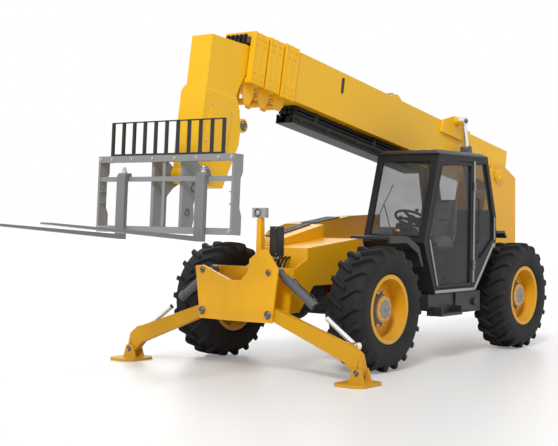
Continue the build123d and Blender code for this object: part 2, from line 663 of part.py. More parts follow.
def boom_outer():
    """The outer section with its pivot holes, the lift cylinders' lugs and the tail cap."""
    half = OUTER_HALF_WIDTH
    tube = section(OUTER_TAIL, OUTER_NOSE, half, OUTER_LOW, OUTER_HIGH, OUTER_WALL, COLLAR_PROUD)
    cap = block(OUTER_TAIL, OUTER_TAIL + OUTER_WALL, -half, half, OUTER_LOW, OUTER_HIGH)
    parts = [tube, cap]
    lug = [
        (LIFT_EYE_U - 420, OUTER_HIGH - 150), (LIFT_EYE_U + 330, OUTER_HIGH - 150),
        (LIFT_EYE_U + 290, OUTER_HIGH + 20), (LIFT_EYE_U + 60, LIFT_EYE_W + 55),
        (LIFT_EYE_U - 60, LIFT_EYE_W + 55), (LIFT_EYE_U - 160, OUTER_HIGH + 15),
        (LIFT_EYE_U - 380, OUTER_HIGH + 10),
    ]
    lug_face = LIFT_Y - EYE_THICKNESS / 2 - PLAY
    for _, s in SIDES:
        parts.append(slab("y", *sorted((s * half, s * (half + 30))), lug))
        parts.append(rod((LIFT_EYE_U, s * half, LIFT_EYE_W), (LIFT_EYE_U, s * lug_face, LIFT_EYE_W), 60))
        parts.append(cross_rod(0, s * (half - OUTER_WALL), s * (half + TOWER_GAP - 1), 0, 95))
    guide = slab("y", -half + 30, half, [
        (GUIDE_U - 130, OUTER_HIGH), (GUIDE_U + 120, OUTER_HIGH), (GUIDE_U + 60, OUTER_HIGH + 28),
        (GUIDE_U + 15, OUTER_HIGH + 46), (GUIDE_U - 45, OUTER_HIGH + 46)])
    whole = fuse(*parts, guide, nose_bracket(OUTER_NOSE, OUTER_LOW - COLLAR_PROUD, 0))
    sight = fuse(*[cross_rod(SIGHT_U, -half - 1, half + 1, w, SIGHT_RADIUS) for w in SIGHT_ENDS],
                 block(SIGHT_U - SIGHT_RADIUS, SIGHT_U + SIGHT_RADIUS, -half - 1, half + 1, *SIGHT_ENDS))
    return whole - sight - cross_rod(0, -half - 60, half + 60, 0, BOOM_PIN_RADIUS + FIT / 3)


def nose_bracket(nose, under, index):
    """The bracket under a section's collar that carries the hoses, its lower end cut on the slant."""
    start, end, depth = nose + 25, nose + COLLAR_LENGTH - 20, BRACKET_DEPTH + index * BRACKET_STEP
    cheek = [(start, under), (end, under), (end, under - depth * 0.45), (end - 60, under - depth),
             (end - 120, under - depth), (start, under - depth * 0.5)]
    half = BRACKET_HALF_WIDTH
    cheeks = [slab("y", *sorted((s * half, s * (half - 16))), cheek) for _, s in SIDES]
    roller = cross_rod(end - 90, -half, half, under - depth + 42, 34)
    return fuse(*cheeks, roller)


def boom_tray():
    """The channel under the boom that holds the extension cylinder and the hoses."""
    start, end, half = TRAY_START, OUTER_NOSE - TRAY_SETBACK, TRAY_HALF_WIDTH
    high = OUTER_LOW - TRAY_DROP
    low = high - TRAY_DEPTH
    channel = block(start, end, -half, half, low, high)
    channel -= block(start - 1, end + 1, -half + TRAY_WALL, half - TRAY_WALL, low + TRAY_WALL, high + 1)
    places = (start + 60, (start + end) / 2 - 295, end - 450)
    hangers = [block(u, u + HANGER_LENGTH, -half, half, high - 20, OUTER_LOW) for u in places]
    barrel = long_rod(start + 30, end - 60, 0, high - 48, 42)
    hoses = [long_rod(start + 10, end - 20, s * TRAY_HOSE_Y, high - 24, TRAY_HOSE_RADIUS) for _, s in SIDES]
    clips = [block(u, u + 40, -half + 1, half - 1, high - 20, high) for u in (start + 700, end - 1000)]
    layer = TRAY_DROP / 2 - 1
    pitch = (2 * half - layer) / (PACK_HOSES - 1)
    pack = [long_rod(start + 20, end - 30, (i - (PACK_HOSES - 1) / 2) * pitch, high + w, layer / 2 - 1)
            for i in range(PACK_HOSES) for w in (layer / 2, layer * 3 / 2)]
    return fuse(channel, *hangers, *hoses, *clips, *pack, barrel)


def inner_section(index):
    """The second or third section, hollow, with its collar."""
    shrink = shrink_of(index)
    start = SECTION_START + index * SECTION_STEP
    nose = OUTER_NOSE + index * (COLLAR_LENGTH + COLLAR_SPACE)
    half, low, high = OUTER_HALF_WIDTH - shrink, OUTER_LOW + shrink, OUTER_HIGH - shrink
    tube = section(start, nose, half, low, high, SECTION_WALL, COLLAR_PROUD + index * COLLAR_GROWTH)
    inside = block(start - 1, start + PAD_LENGTH + 1, -half + SECTION_WALL, half - SECTION_WALL,
                   low + SECTION_WALL, high - SECTION_WALL)
    proud = COLLAR_PROUD + index * COLLAR_GROWTH
    bracket = nose_bracket(nose, low - proud, index)
    return tube + (tail_pads(start, half, low, high) - inside) + bracket


def boom_head():
    """The innermost section and the gooseneck head that it carries."""
    shrink = shrink_of(3)
    half = OUTER_HALF_WIDTH - shrink
    low, high = OUTER_LOW + shrink, OUTER_HIGH - shrink - FLY_DROP
    start, end = SECTION_START + 3 * SECTION_STEP, FLY_END
    tube = block(start, end, -half, half, low, high) + tail_pads(start, half, low, high + FLY_DROP)
    tube -= block(start - 1, end - 100, -half + SECTION_WALL, half - SECTION_WALL,
                  low + SECTION_WALL, high - SECTION_WALL)
    front, back, shoulder = end + HEAD_FRONT, end + HEAD_BACK, HEAD_SHOULDER_W
    neck = slab("y", -half, half, [
        (end - 65, low), (end - 65, high), (front - 27, high - 42), (front - 34, shoulder + 55),
        (back - 5, shoulder + 63), (back - 37, shoulder + 171)])
    wide = HEAD_HALF_WIDTH
    flare = slab("x", back - 2, front - 6, [
        (-half, shoulder + 61), (half, shoulder + 61), (wide, shoulder + 13), (-wide, shoulder + 13)])
    lower = slab("y", -wide, wide, [
        (back, shoulder + 14), (front, shoulder + 14), (front - 4, shoulder - 429),
        (TILT_PIVOT_U + 70, TILT_PIVOT_W + 55), (TILT_PIVOT_U + 70, TILT_PIVOT_W - 55),
        (TILT_PIVOT_U - 60, TILT_PIVOT_W - 85), (back + 68, TILT_PIVOT_W - 70),
        (back - 97, shoulder - 419), (back - 97, shoulder - 269), (back - 49, shoulder - 72)])
    boss = cross_rod(back - 132, -wide, wide, shoulder - 209, 70)
    tip = cross_rod(TILT_PIVOT_U, -wide, wide, TILT_PIVOT_W, TILT_BOSS_RADIUS)
    head = fuse(tube, neck, flare, lower, boss, tip)
    return head - cross_rod(TILT_PIVOT_U, -wide - 1, wide + 1, TILT_PIVOT_W, TILT_PIN_RADIUS + FIT / 3)


NODES["boom_outer"] = BOOM_AT * boom_outer()
NODES["boom_tray"] = BOOM_AT * boom_tray()
NODES["boom_section_2"] = BOOM_AT * inner_section(1)
NODES["boom_section_3"] = BOOM_AT * inner_section(2)
NODES["boom_head"] = BOOM_AT * boom_head()


# ---------------------------------------------------------------- carriage, about its tilt pivot
def carriage():
    """The fork carriage: bars, posts and the two ears that hang on the boom head's pin."""
    half = CARRIAGE_WIDTH / 2
    back, front = CARRIAGE_BACK_X, CARRIAGE_BACK_X + BAR_DEPTH
    top = TOP_BAR_Z + BAR_HEIGHT
    bars = [
        block(back, front, -half, half, TOP_BAR_Z, top),
        block(back, front, -half, half, BOTTOM_BAR_Z, BOTTOM_BAR_Z + BAR_HEIGHT),
        block(back + 10, front - 10, -half, half, MID_BAR_Z, MID_BAR_Z + MID_BAR_HEIGHT),
    ]
    posts = [slab("y", *sorted((s * half, s * (half - 24))), [
        (back - 70, BOTTOM_BAR_Z), (front, BOTTOM_BAR_Z), (front, top), (back - 70, top),
        (back - 70, 0), (back - 40, -60), (back - 40, -330), (back - 70, -400)]) for _, s in SIDES]
    ears = []
    for _, s in SIDES:
        ears.append(slab("y", *sorted((s * EAR_Y, s * (EAR_Y + EAR_THICKNESS))), [
            (-85, -30), (-60, -75), (40, -130), (120, -210), (150, -300), (135, -420), (160, -520),
            (210, BOTTOM_BAR_Z), (back + 1, BOTTOM_BAR_Z), (back + 1, top), (150, top - 10), (60, 80),
            (-40, 85), (-85, 40)]))
        ears.append(cross_rod(0, s * EAR_Y, s * (EAR_Y + EAR_THICKNESS + 14), 0, 60))
    pin = cross_rod(0, -EAR_Y - EAR_THICKNESS, EAR_Y + EAR_THICKNESS, 0, TILT_PIN_RADIUS)
    stay = block(back + 14, front - 14, -18, 18, BOTTOM_BAR_Z + 10, TOP_BAR_Z + 10)
    locks = [block(back - 30, back + 1, *sorted((s * (half - 24), s * (half - 110))), TOP_BAR_Z, top)
             for _, s in SIDES]
    return fuse(*bars, *posts, *ears, *locks, stay, pin)


def backrest():
    """The load backrest: upright bars between a foot rail and a top rail."""
    low = TOP_BAR_Z + BAR_HEIGHT
    x0 = CARRIAGE_BACK_X + 16
    x1 = x0 + BACKREST_BAR
    half = BACKREST_HALF_WIDTH
    pitch = (2 * half - BACKREST_BAR) / (BACKREST_BARS - 1)
    rails = [
        block(x0, x1, -half, half, low, low + 20),
        block(x0 + 6, x1 - 6, -half, half, low + BACKREST_HEIGHT - 12, low + BACKREST_HEIGHT),
    ]
    bars = [block(x0, x1, -half + i * pitch, -half + i * pitch + BACKREST_BAR, low, low + BACKREST_HEIGHT)
            for i in range(BACKREST_BARS)]
    return fuse(*rails, *bars)


def fork(side):
    """One pallet fork: a shank hooked on the carriage and a blade that tapers to its tip."""
    x0 = CARRIAGE_BACK_X + BAR_DEPTH
    x1 = x0 + FORK_THICKNESS
    top = BOTTOM_BAR_Z - 20
    y = side * FORK_SPREAD / 2
    hook = MID_BAR_Z + MID_BAR_HEIGHT + FIT
    tip = top - FORK_THICKNESS + FORK_RISE
    profile = [
        (x0, top - FORK_THICKNESS), (x0, hook), (x0 - BAR_DEPTH + 14, hook),
        (x0 - BAR_DEPTH + 14, hook + HOOK_HEIGHT), (x1 - 20, hook + HOOK_HEIGHT), (x1, hook), (x1, top),
        (x1 + FORK_HEEL, top),
        (x1 + FORK_LENGTH, tip + FORK_TIP), (x1 + FORK_LENGTH, tip),
    ]
    return slab("y", y - FORK_WIDTH / 2, y + FORK_WIDTH / 2, profile)


NODES["carriage"] = CARRIAGE_AT * carriage()
NODES["load_backrest"] = CARRIAGE_AT * backrest()
NODES["forks"] = group(*[CARRIAGE_AT * fork(s) for _, s in SIDES])


# ---------------------------------------------------------------- cylinders
def ram(base, eye, across, barrel_length, barrel_radius, gland, rod_radius, eye_radius, eye_width,
        pin_radius):
    """A hydraulic cylinder between two pins that lie along one axis: its barrel and its rod."""
    a, b = Vector(*base), Vector(*eye)
    reach = (b - a).length
    line = (b - a).normalized()
    half_pin = {"x": Vector(eye_width / 2, 0, 0), "y": Vector(0, eye_width / 2, 0)}[across]
    mouth = a + line * barrel_length
    bottom = a + line * (eye_radius + 70)
    barrel = fuse(rod(a + line * (eye_radius + 45), mouth, barrel_radius),
                  rod(a, a + line * (eye_radius + 60), eye_width / 2 - 2),
                  rod(mouth - line * 60, mouth, barrel_radius + gland),
                  rod(a - half_pin, a + half_pin, eye_radius))
    barrel -= rod(bottom, mouth + line, rod_radius + FIT)
    barrel -= rod(a - half_pin * 2, a + half_pin * 2, pin_radius)
    inserted = min(reach, barrel_length) - eye_radius - 80
    piston = fuse(rod(b - line * inserted, b, rod_radius), rod(b - half_pin, b + half_pin, eye_radius))
    return barrel, piston


def lift_cylinder(side):
    """A lift cylinder's barrel and rod, beside the boom."""
    y = side * LIFT_Y
    return ram((LIFT_BASE_X, y, LIFT_BASE_Z), (LIFT_EYE_X, y, LIFT_EYE_Z), "y", LIFT_BARREL_LENGTH,
               LIFT_BARREL_RADIUS, LIFT_GLAND, LIFT_ROD_RADIUS, LIFT_EYE_RADIUS, EYE_THICKNESS,
               LIFT_PIN_RADIUS + FIT / 3)


lift = [lift_cylinder(s) for _, s in SIDES]
NODES["lift_barrels"] = group(*[barrel for barrel, _ in lift])
NODES["lift_rods"] = group(*[piston for _, piston in lift])


# ---------------------------------------------------------------- stabilisers
def stabiliser_frame():
    """The box across the front that carries the stabiliser legs, with a notch in its top."""
    half, foot_half, top, low = STAB_HALF_WIDTH, STAB_FOOT_HALF_WIDTH, STAB_TOP_Z, STAB_BOTTOM_Z
    front = [
        (-half, top), (-half + 100, top + 10), (-60, top - 130), (90, top - 130), (180, top - 40),
        (200, top + 90), (half - 210, top + 190), (half - 140, top + 180), (half, top),
        (foot_half, low), (-foot_half, low)]
    rear = [(-half, top), (half, top), (foot_half, low), (-foot_half, low)]
    x0, x1 = STAB_REAR_X + STAB_PLATE, STAB_FRONT_X - STAB_PLATE
    parts = [slab("x", x1, STAB_FRONT_X, front), slab("x", STAB_REAR_X, x0, rear)]
    web = foot_half - 220
    parts.append(block(x0, x1, -web, web, low, low + STAB_PLATE))
    for _, s in SIDES:
        parts.append(block(x0, x1, *sorted((s * web, s * (web - STAB_PLATE))), low, top - 135))
        parts.append(long_rod(x0, x1, s * LEG_PIVOT_Y, LEG_PIVOT_Z, LEG_PIN_RADIUS))
        parts.append(long_rod(x0, x1, s * STAB_CYLINDER_Y, STAB_CYLINDER_Z, STAB_PIN_RADIUS))
    post = slab("x", STAB_POST_X, STAB_POST_X + STAB_POST_DEPTH, [
        (190, top - 60), (270, top - 60), (255, STAB_POST_TOP_Z), (205, STAB_POST_TOP_Z)])
    foot = block(STAB_POST_X, x1, 200, 260, top - 60, top + 30)
    fold = slab("z", low, top + 200, [
        (STAB_FRONT_X - 1, -half), (STAB_FRONT_X + FOLD, -FOLD_HALF), (STAB_FRONT_X + FOLD, FOLD_HALF),
        (STAB_FRONT_X - 1, half)])
    fold &= slab("x", STAB_FRONT_X - 1, STAB_FRONT_X + FOLD, front)
    bosses = [long_rod(STAB_FRONT_X - 1, STAB_FRONT_X + 16, s * y, z, radius) for _, s in SIDES
              for y, z, radius in ((LEG_PIVOT_Y, LEG_PIVOT_Z, 52), (STAB_CYLINDER_Y, STAB_CYLINDER_Z, 38))]
    return fuse(*parts, post, foot, fold, *bosses)


def stabiliser_leg(side):
    """A leg that is slender at its pivot and deep over its foot, with the cylinder's lug behind it."""
    x0, x1 = LEG_X, LEG_X + LEG_WIDTH
    outline = [
        (LEG_PIVOT_Y - 40, LEG_PIVOT_Z + LEG_ROOT), (LEG_PIVOT_Y + 60, LEG_PIVOT_Z + LEG_ROOT - 4),
        (STAB_EYE_Y - 75, STAB_EYE_Z + 45), (STAB_EYE_Y + 35, STAB_EYE_Z + 15),
        (FOOT_Y + 17, FOOT_PIN_Z + 170), (FOOT_Y + 50, FOOT_PIN_Z + 40), (FOOT_Y + 30, FOOT_PIN_Z - 35),
        (FOOT_Y - 45, FOOT_PIN_Z - 30), (FOOT_Y - 153, FOOT_PIN_Z + 80),
        (LEG_PIVOT_Y + 20, LEG_PIVOT_Z - LEG_ROOT), (LEG_PIVOT_Y - 50, LEG_PIVOT_Z - LEG_ROOT + 22)]
    leg = slab("x", x0, x1, outline)
    leg = leg - long_rod(x0 - 1, x1 + 1, LEG_PIVOT_Y, LEG_PIVOT_Z, LEG_PIN_RADIUS + FIT / 3)
    leg = leg - long_rod(x0 - 1, x1 + 1, FOOT_Y, FOOT_PIN_Z, FOOT_PIN_RADIUS + FIT / 3)
    return on_side(leg, side)


def stabiliser_foot(side):
    """A foot plate with two ears and the pin that the leg stands on."""
    x0, x1 = LEG_X, LEG_X + LEG_WIDTH
    rear, front = FOOT_X - FOOT_LENGTH / 2, FOOT_X + FOOT_LENGTH / 2
    near, far = FOOT_Y - FOOT_WIDTH / 2, FOOT_Y + FOOT_WIDTH / 2
    corner = FOOT_CORNER
    plate = slab("z", 0, FOOT_PLATE, [
        (rear + corner, near), (front - corner, near), (front, near + corner), (front, far - corner),
        (front - corner, far), (rear + corner, far), (rear, far - corner), (rear, near + corner)])
    ear = [(FOOT_Y - 90, FOOT_PLATE), (FOOT_Y + 90, FOOT_PLATE), (FOOT_Y + 45, FOOT_PIN_Z + 42),
           (FOOT_Y - 45, FOOT_PIN_Z + 42)]
    reach = PLAY + FOOT_EAR
    ears = [slab("x", x0 - reach, x0 - PLAY, ear), slab("x", x1 + PLAY, x1 + reach, ear)]
    pin = long_rod(x0 - reach, x1 + reach, FOOT_Y, FOOT_PIN_Z, FOOT_PIN_RADIUS)
    return on_side(fuse(plate, *ears, pin), side)


NODES["stabiliser_frame"] = stabiliser_frame()
lamp_z = STAB_POST_TOP_Z + 5
NODES["work_lamp"] = fuse(
    slab("z", lamp_z, lamp_z + LAMP_HEIGHT, [
        (STAB_POST_X - 30, 150), (STAB_POST_X - 10, 132), (STAB_POST_X + 45, 130), (STAB_POST_X + 60, 145),
        (STAB_POST_X + 60, 285), (STAB_POST_X + 45, 300), (STAB_POST_X - 10, 298), (STAB_POST_X - 30, 280)]),
    block(STAB_POST_X + 5, STAB_POST_X + 55, 215, 245, STAB_POST_TOP_Z + FIT, lamp_z + 1))
NODES["valve_box"] = fuse(
    block(STAB_REAR_X, STAB_REAR_X + 110, 300, 400, VALVE_BOTTOM_Z, VALVE_TOP_Z),
    block(STAB_REAR_X, STAB_REAR_X + STAB_PLATE, 320, 350, STAB_TOP_Z + FIT, VALVE_BOTTOM_Z + 1))
for side_name, side in SIDES:
    NODES[f"stabiliser_leg_{side_name}"] = stabiliser_leg(side)
    NODES[f"stabiliser_foot_{side_name}"] = stabiliser_foot(side)
    barrel, piston = ram(
        (STAB_CYLINDER_X, side * STAB_CYLINDER_Y, STAB_CYLINDER_Z),
        (STAB_CYLINDER_X, side * STAB_EYE_Y, STAB_EYE_Z), "x", STAB_BARREL_LENGTH,
        STAB_BARREL_RADIUS, STAB_GLAND, STAB_ROD_RADIUS, STAB_EYE_RADIUS, STAB_EYE_THICKNESS,
        STAB_PIN_RADIUS + FIT / 3)
    NODES[f"stabiliser_barrel_{side_name}"] = barrel
    NODES[f"stabiliser_rod_{side_name}"] = piston + long_rod(
        STAB_CYLINDER_X, LEG_X - FIT, side * STAB_EYE_Y, STAB_EYE_Z, STAB_PIN_RADIUS)


# ---------------------------------------------------------------- cab
CAB_OUTLINE = [             # (x, z) of the cab's side, clockwise from the floor's front corner
    (CAB_FRONT_LOW_X, CAB_FLOOR_Z), (SCREEN_FOOT_X, SCREEN_FOOT_Z), (SCREEN_HEAD_X, CAB_ROOF_Z),
    (CAB_REAR_TOP_X, CAB_ROOF_Z), (CAB_REAR_X, CAB_REAR_Z), (CAB_REAR_X, CAB_REAR_LOW_Z),
    (CAB_REAR_FLOOR_X, CAB_FLOOR_Z),
]
DOOR_OUTLINE = [
    (DOOR_REAR_X, CAB_SILL_Z), (CAB_FRONT_LOW_X - 25, CAB_SILL_Z), (SCREEN_FOOT_X - 75, SCREEN_FOOT_Z + 40),
    (SCREEN_HEAD_X - 62, CAB_ROOF_Z - 60), (DOOR_REAR_X, CAB_ROOF_Z - 60),
]
QUARTER_OUTLINE = [
    (DOOR_REAR_X - WINDOW_BORDER, CAB_WAIST_Z), (DOOR_REAR_X - WINDOW_BORDER, CAB_ROOF_Z - HEAD_BORDER),
    (CAB_REAR_TOP_X + 40, CAB_ROOF_Z - HEAD_BORDER), (CAB_REAR_X + 75, CAB_REAR_Z),
    (CAB_REAR_X + 75, CAB_REAR_LOW_Z + 40), (CAB_REAR_X + 380, CAB_WAIST_Z),
]
SIDE_WINDOW_OUTLINE = [
    (DOOR_REAR_X - WINDOW_BORDER, CAB_WAIST_Z), (CAB_FRONT_LOW_X, CAB_WAIST_Z),
    (SCREEN_FOOT_X - 90, SCREEN_FOOT_Z + 20), (SCREEN_HEAD_X - 70, CAB_ROOF_Z - HEAD_BORDER),
    (CAB_REAR_TOP_X + 40, CAB_ROOF_Z - HEAD_BORDER), (CAB_REAR_X + 75, CAB_REAR_Z),
    (CAB_REAR_X + 75, CAB_REAR_LOW_Z + 40), (CAB_REAR_X + 380, CAB_WAIST_Z),
]
SCREEN_RAKE = degrees(atan2(SCREEN_FOOT_X - SCREEN_HEAD_X, CAB_ROOF_Z - SCREEN_FOOT_Z))
REAR_RAKE = degrees(atan2(CAB_REAR_TOP_X - CAB_REAR_X, CAB_ROOF_Z - CAB_REAR_Z))


def raked_panel(x, z, rake, length, margin, depth_in, depth_out):
    """A panel across the cab that leans back from its foot, with a margin all round."""
    width = CAB_OUTER_Y - CAB_INNER_Y - 2 * margin
    sheet = Box(depth_in + depth_out, width, length - 2 * margin)
    panel = Pos((depth_out - depth_in) / 2, 0, length / 2) * sheet
    return Location((x, (CAB_INNER_Y + CAB_OUTER_Y) / 2, z), (0, rake, 0)) * panel


SCREEN_LENGTH = hypot(SCREEN_FOOT_X - SCREEN_HEAD_X, CAB_ROOF_Z - SCREEN_FOOT_Z)
REAR_LENGTH = hypot(CAB_REAR_TOP_X - CAB_REAR_X, CAB_ROOF_Z - CAB_REAR_Z)


def cab_frame():
    """The cab's hollow shell with its door way and window openings cut."""
    y0, y1 = CAB_INNER_Y, CAB_OUTER_Y
    room = slab("y", y0 + CAB_WALL, y1 - CAB_WALL, inset(CAB_OUTLINE, CAB_WALL))
    shell = slab("y", y0, y1, CAB_OUTLINE) - room
    shell -= slab("y", y1 - CAB_WALL - 1, y1 + 1, DOOR_OUTLINE)
    shell -= slab("y", y1 - CAB_WALL - 1, y1 + 1, QUARTER_OUTLINE)
    shell -= slab("y", y0 - 1, y0 + CAB_WALL + 1, SIDE_WINDOW_OUTLINE)
    shell -= raked_panel(SCREEN_FOOT_X, SCREEN_FOOT_Z, -SCREEN_RAKE, SCREEN_LENGTH,
                          SCREEN_BORDER, 90, 20)
    shell -= raked_panel(CAB_REAR_X, CAB_REAR_Z, REAR_RAKE, REAR_LENGTH, SCREEN_BORDER, 20, 90)
    return shell


def cab_windows():
    """The fixed panes: windscreen, rear window, right side window and left quarter window."""
    y0, y1 = CAB_INNER_Y, CAB_OUTER_Y
    return group(
        slab("y", y1 - CAB_WALL / 2 - GLASS, y1 - CAB_WALL / 2, inset(QUARTER_OUTLINE, FIT)),
        slab("y", y0 + CAB_WALL / 2, y0 + CAB_WALL / 2 + GLASS, inset(SIDE_WINDOW_OUTLINE, FIT)),
        raked_panel(SCREEN_FOOT_X, SCREEN_FOOT_Z, -SCREEN_RAKE, SCREEN_LENGTH,
                     SCREEN_BORDER + FIT, 20 + GLASS, -20),
        raked_panel(CAB_REAR_X, CAB_REAR_Z, REAR_RAKE, REAR_LENGTH,
                     SCREEN_BORDER + FIT, -20, 20 + GLASS))


def cab_roof():
    """The roof panel with its chamfered edges."""
    x0, x1, y0, y1 = CAB_REAR_TOP_X - 10, SCREEN_HEAD_X + 10, CAB_INNER_Y, CAB_OUTER_Y
    low, edge, top = CAB_ROOF_Z, CAB_ROOF_Z + ROOF_EDGE, CAB_ROOF_Z + ROOF_THICKNESS
    base = slab("y", y0, y1, [(x0, low), (x1, low), (x1, edge), (x1 - 60, top), (x0 + 60, top), (x0, edge)])
    across = slab("x", x0 - 1, x1 + 1, [
        (y0, low), (y1, low), (y1, edge), (y1 - 60, top), (y0 + 20, top), (y0, edge)])
    return base & across


def door_frame():
    """The door's frame, hung on the post behind it."""
    y1 = CAB_OUTER_Y
    outline = inset(DOOR_OUTLINE, PLAY)
    frame = ring_slab("y", y1 - CAB_WALL, y1, outline, DOOR_RING)
    hinges = [block(DOOR_REAR_X + FIT, DOOR_REAR_X + PLAY + 5, y1 - 25, y1 - 5, z, z + DOOR_HINGE_HEIGHT)
              for z in (CAB_SILL_Z + 200, CAB_ROOF_Z - 380)]
    return fuse(frame, *hinges)


def door_glass():
    """The door's pane, which fills its frame from the sill to the head."""
    middle = CAB_OUTER_Y - CAB_WALL / 2
    return slab("y", middle - GLASS, middle, inset(DOOR_OUTLINE, PLAY + DOOR_RING + FIT))


def driver_seat():
    """The seat on its base: squab, backrest with a head restraint, and the armrests."""
    x, y, top, half = DOOR_REAR_X, SEAT_Y, SEAT_TOP_Z, SEAT_HALF_WIDTH
    floor = CAB_FLOOR_Z + CAB_WALL
    squab = slab("y", y - half, y + half, [
        (x + 70, top - 125), (x + 540, top - 90), (x + 555, top - 35), (x + 520, top), (x + 90, top - 25)])
    back = slab("y", y - half + 10, y + half - 10, [
        (x + 20, top - 75), (x + 130, top - 35), (x + 50, top + 455), (x - 50, top + 440),
        (x - 40, top + 135)])
    base = slab("y", y - half + 55, y + half - 55, [
        (x + 90, floor), (x + 460, floor), (x + 490, top - 80), (x + 110, top - 80)])
    return fuse(squab, back, base)


def cab_controls():
    """The dash, the side console and the steering wheel on its column."""
    floor = CAB_FLOOR_Z + CAB_WALL
    y0, y1 = CAB_INNER_Y + CAB_WALL, CAB_OUTER_Y - CAB_WALL - 4
    x, z = SCREEN_FOOT_X, SCREEN_FOOT_Z
    dash = slab("y", y0, y1 - 200, [
        (x - 325, z - 190), (x - 130, z - 110), (x - 65, z + 20), (x - 90, z + 90), (x - 250, z + 160),
        (x - 330, z + 90)])
    console = slab("y", y0, y0 + CONSOLE_WIDTH, [
        (DOOR_REAR_X + 20, floor), (x - 326, floor), (x - 326, z + 70), (x - 560, z + 110),
        (DOOR_REAR_X + 120, z + 70)])
    stalk = slab("y", SEAT_Y - 60, SEAT_Y + 60, [
        (x - 410, floor), (x - 295, floor), (x - 260, z - 60), (x - 324, z - 10)])
    column = rod((x - 285, SEAT_Y, z - 10), (x - 425, SEAT_Y, z + 250), 32)
    hub = Cylinder(45, 30) + Box(2 * STEERING_RADIUS, 34, 14) + Box(34, 2 * STEERING_RADIUS, 14)
    wheel = Location((x - 430, SEAT_Y, z + 260), (0, -28, 0)) * (Torus(STEERING_RADIUS, 15) + hub)
    return fuse(dash, console, stalk, column, wheel)


NODES["cab_frame"] = cab_frame()
NODES["cab_windows"] = cab_windows()
NODES["cab_roof"] = cab_roof()
NODES["door_frame"] = door_frame()
NODES["door_glass"] = door_glass()
NODES["driver_seat"] = driver_seat()
NODES["cab_controls"] = cab_controls()


def step_boxes():
    """The tank and the tool box under the cab, with the step below the door."""
    rear, middle, front = DOOR_REAR_X - 280, DOOR_REAR_X + 300, CAB_FRONT_LOW_X + 40
    low, inner, outer = STEP_Z, CHASSIS_HALF_WIDTH, CAB_OUTER_Y
    return fuse(
        block(rear, middle, inner, outer - 40, low + 5, CAB_FLOOR_Z),
        block(middle, front, inner, outer - 60, low + 80, CAB_FLOOR_Z),
        block(middle, front - 70, outer - 120, outer - 50, low, low + 100),
        block(middle + 20, front - 90, outer - 60, outer + 60, low, low + 30),
        block(middle + 20, middle + 40, outer - 60, outer + 60, low + 30, low + 100),
        block(front - 110, front - 90, outer - 60, outer + 60, low + 30, low + 100))


def mudguards():
    """The moulded guard over the front left wheel, on its bracket, and the one behind the cab."""
    top = TYRE_DIAMETER + GUARD_CLEARANCE
    inner, outer = CAB_OUTER_Y - 480, CAB_OUTER_Y + 10
    x = WHEELBASE

    def sheet(under):
        """The guard's outline, so far below its skin."""
        return [(x - 100, top - under), (x - 440, top - under), (x - 660, top - 110 - under),
                (x - 745, top - 300), (x - 775, top - 295), (x - 690, top - 85),
                (x - 455, top + GUARD_SHEET), (x - 100, top + GUARD_SHEET)]

    skin = slab("y", inner, outer, sheet(0))
    lip = slab("y", outer - GUARD_SHEET, outer, sheet(GUARD_LIP))
    bracket = block(x - 730, x - 710, CHASSIS_HALF_WIDTH, outer - 30, top - 240, top - 125)
    marker = rod((x - 400, outer - 90, top), (x - 400, outer - 90, top + 85), 24)
    back, shelf = CAB_REAR_X - FIT, top + 50
    rear = slab("y", inner, outer, [
        (back - REAR_GUARD_LENGTH, shelf - 60), (back - REAR_GUARD_LENGTH + 60, shelf), (back, shelf),
        (back, shelf + GUARD_SHEET), (back - REAR_GUARD_LENGTH + 50, shelf + GUARD_SHEET),
        (back - REAR_GUARD_LENGTH - 20, shelf - 50)])
    lamp = block(back - 60, back - 25, outer - 160, outer - 40, shelf - 70, shelf + 60)
    return group(fuse(skin, lip, bracket, marker), rear + lamp)


NODES["step_boxes"] = step_boxes()
NODES["mudguards"] = mudguards()


# ---------------------------------------------------------------- engine pod
def pod():
    """The open-topped box on the right that holds the engine."""
    x0, x1, y0, y1 = POD_REAR_X, POD_FRONT_X, POD_OUTER_Y, POD_INNER_Y
    z0, z1 = POD_BOTTOM_Z, POD_RIM_Z
    wall = POD_WALL
    room = block(x0 + wall, x1 - wall, y0 + wall, y1 - wall, z0 + wall, z1 + 1)
    body = block(x0, x1, y0, y1, z0, z1) - room
    span = (x1 - x0) / 2
    for panel in (x0, x0 + span):
        for i in range(POD_LOUVRES):
            low = z0 + 90 + i * 58
            body -= block(panel + 90, panel + span - 90, y0 - 1, y0 + wall + 1, low, low + 26)
    brackets = [block(x, x + 120, y1, -CHASSIS_HALF_WIDTH, z0 + 60, z0 + 260) for x in (x0 + 150, x1 - 270)]
    return fuse(body, *brackets)


def front_cowl():
    """The cowl on the nose, whose top slopes down forwards from the bonnet."""
    rear, front, base = NOSE_REAR_X + 2, NOSE_FRONT_X - 100, NOSE_TOP_Z + 13
    return slab("y", COWL_OUTER_Y, COWL_INNER_Y, [
        (rear, NOSE_TOP_Z + NOSE_RISE), (front, base), (front - 30, base + 27), (front - 100, base + 77),
        (rear, COWL_TOP_Z)])


def bonnet():
    """The lid over the engine: it slopes down forwards and outwards, and is hollow below."""
    return lid(0) - lid(BONNET_WALL)


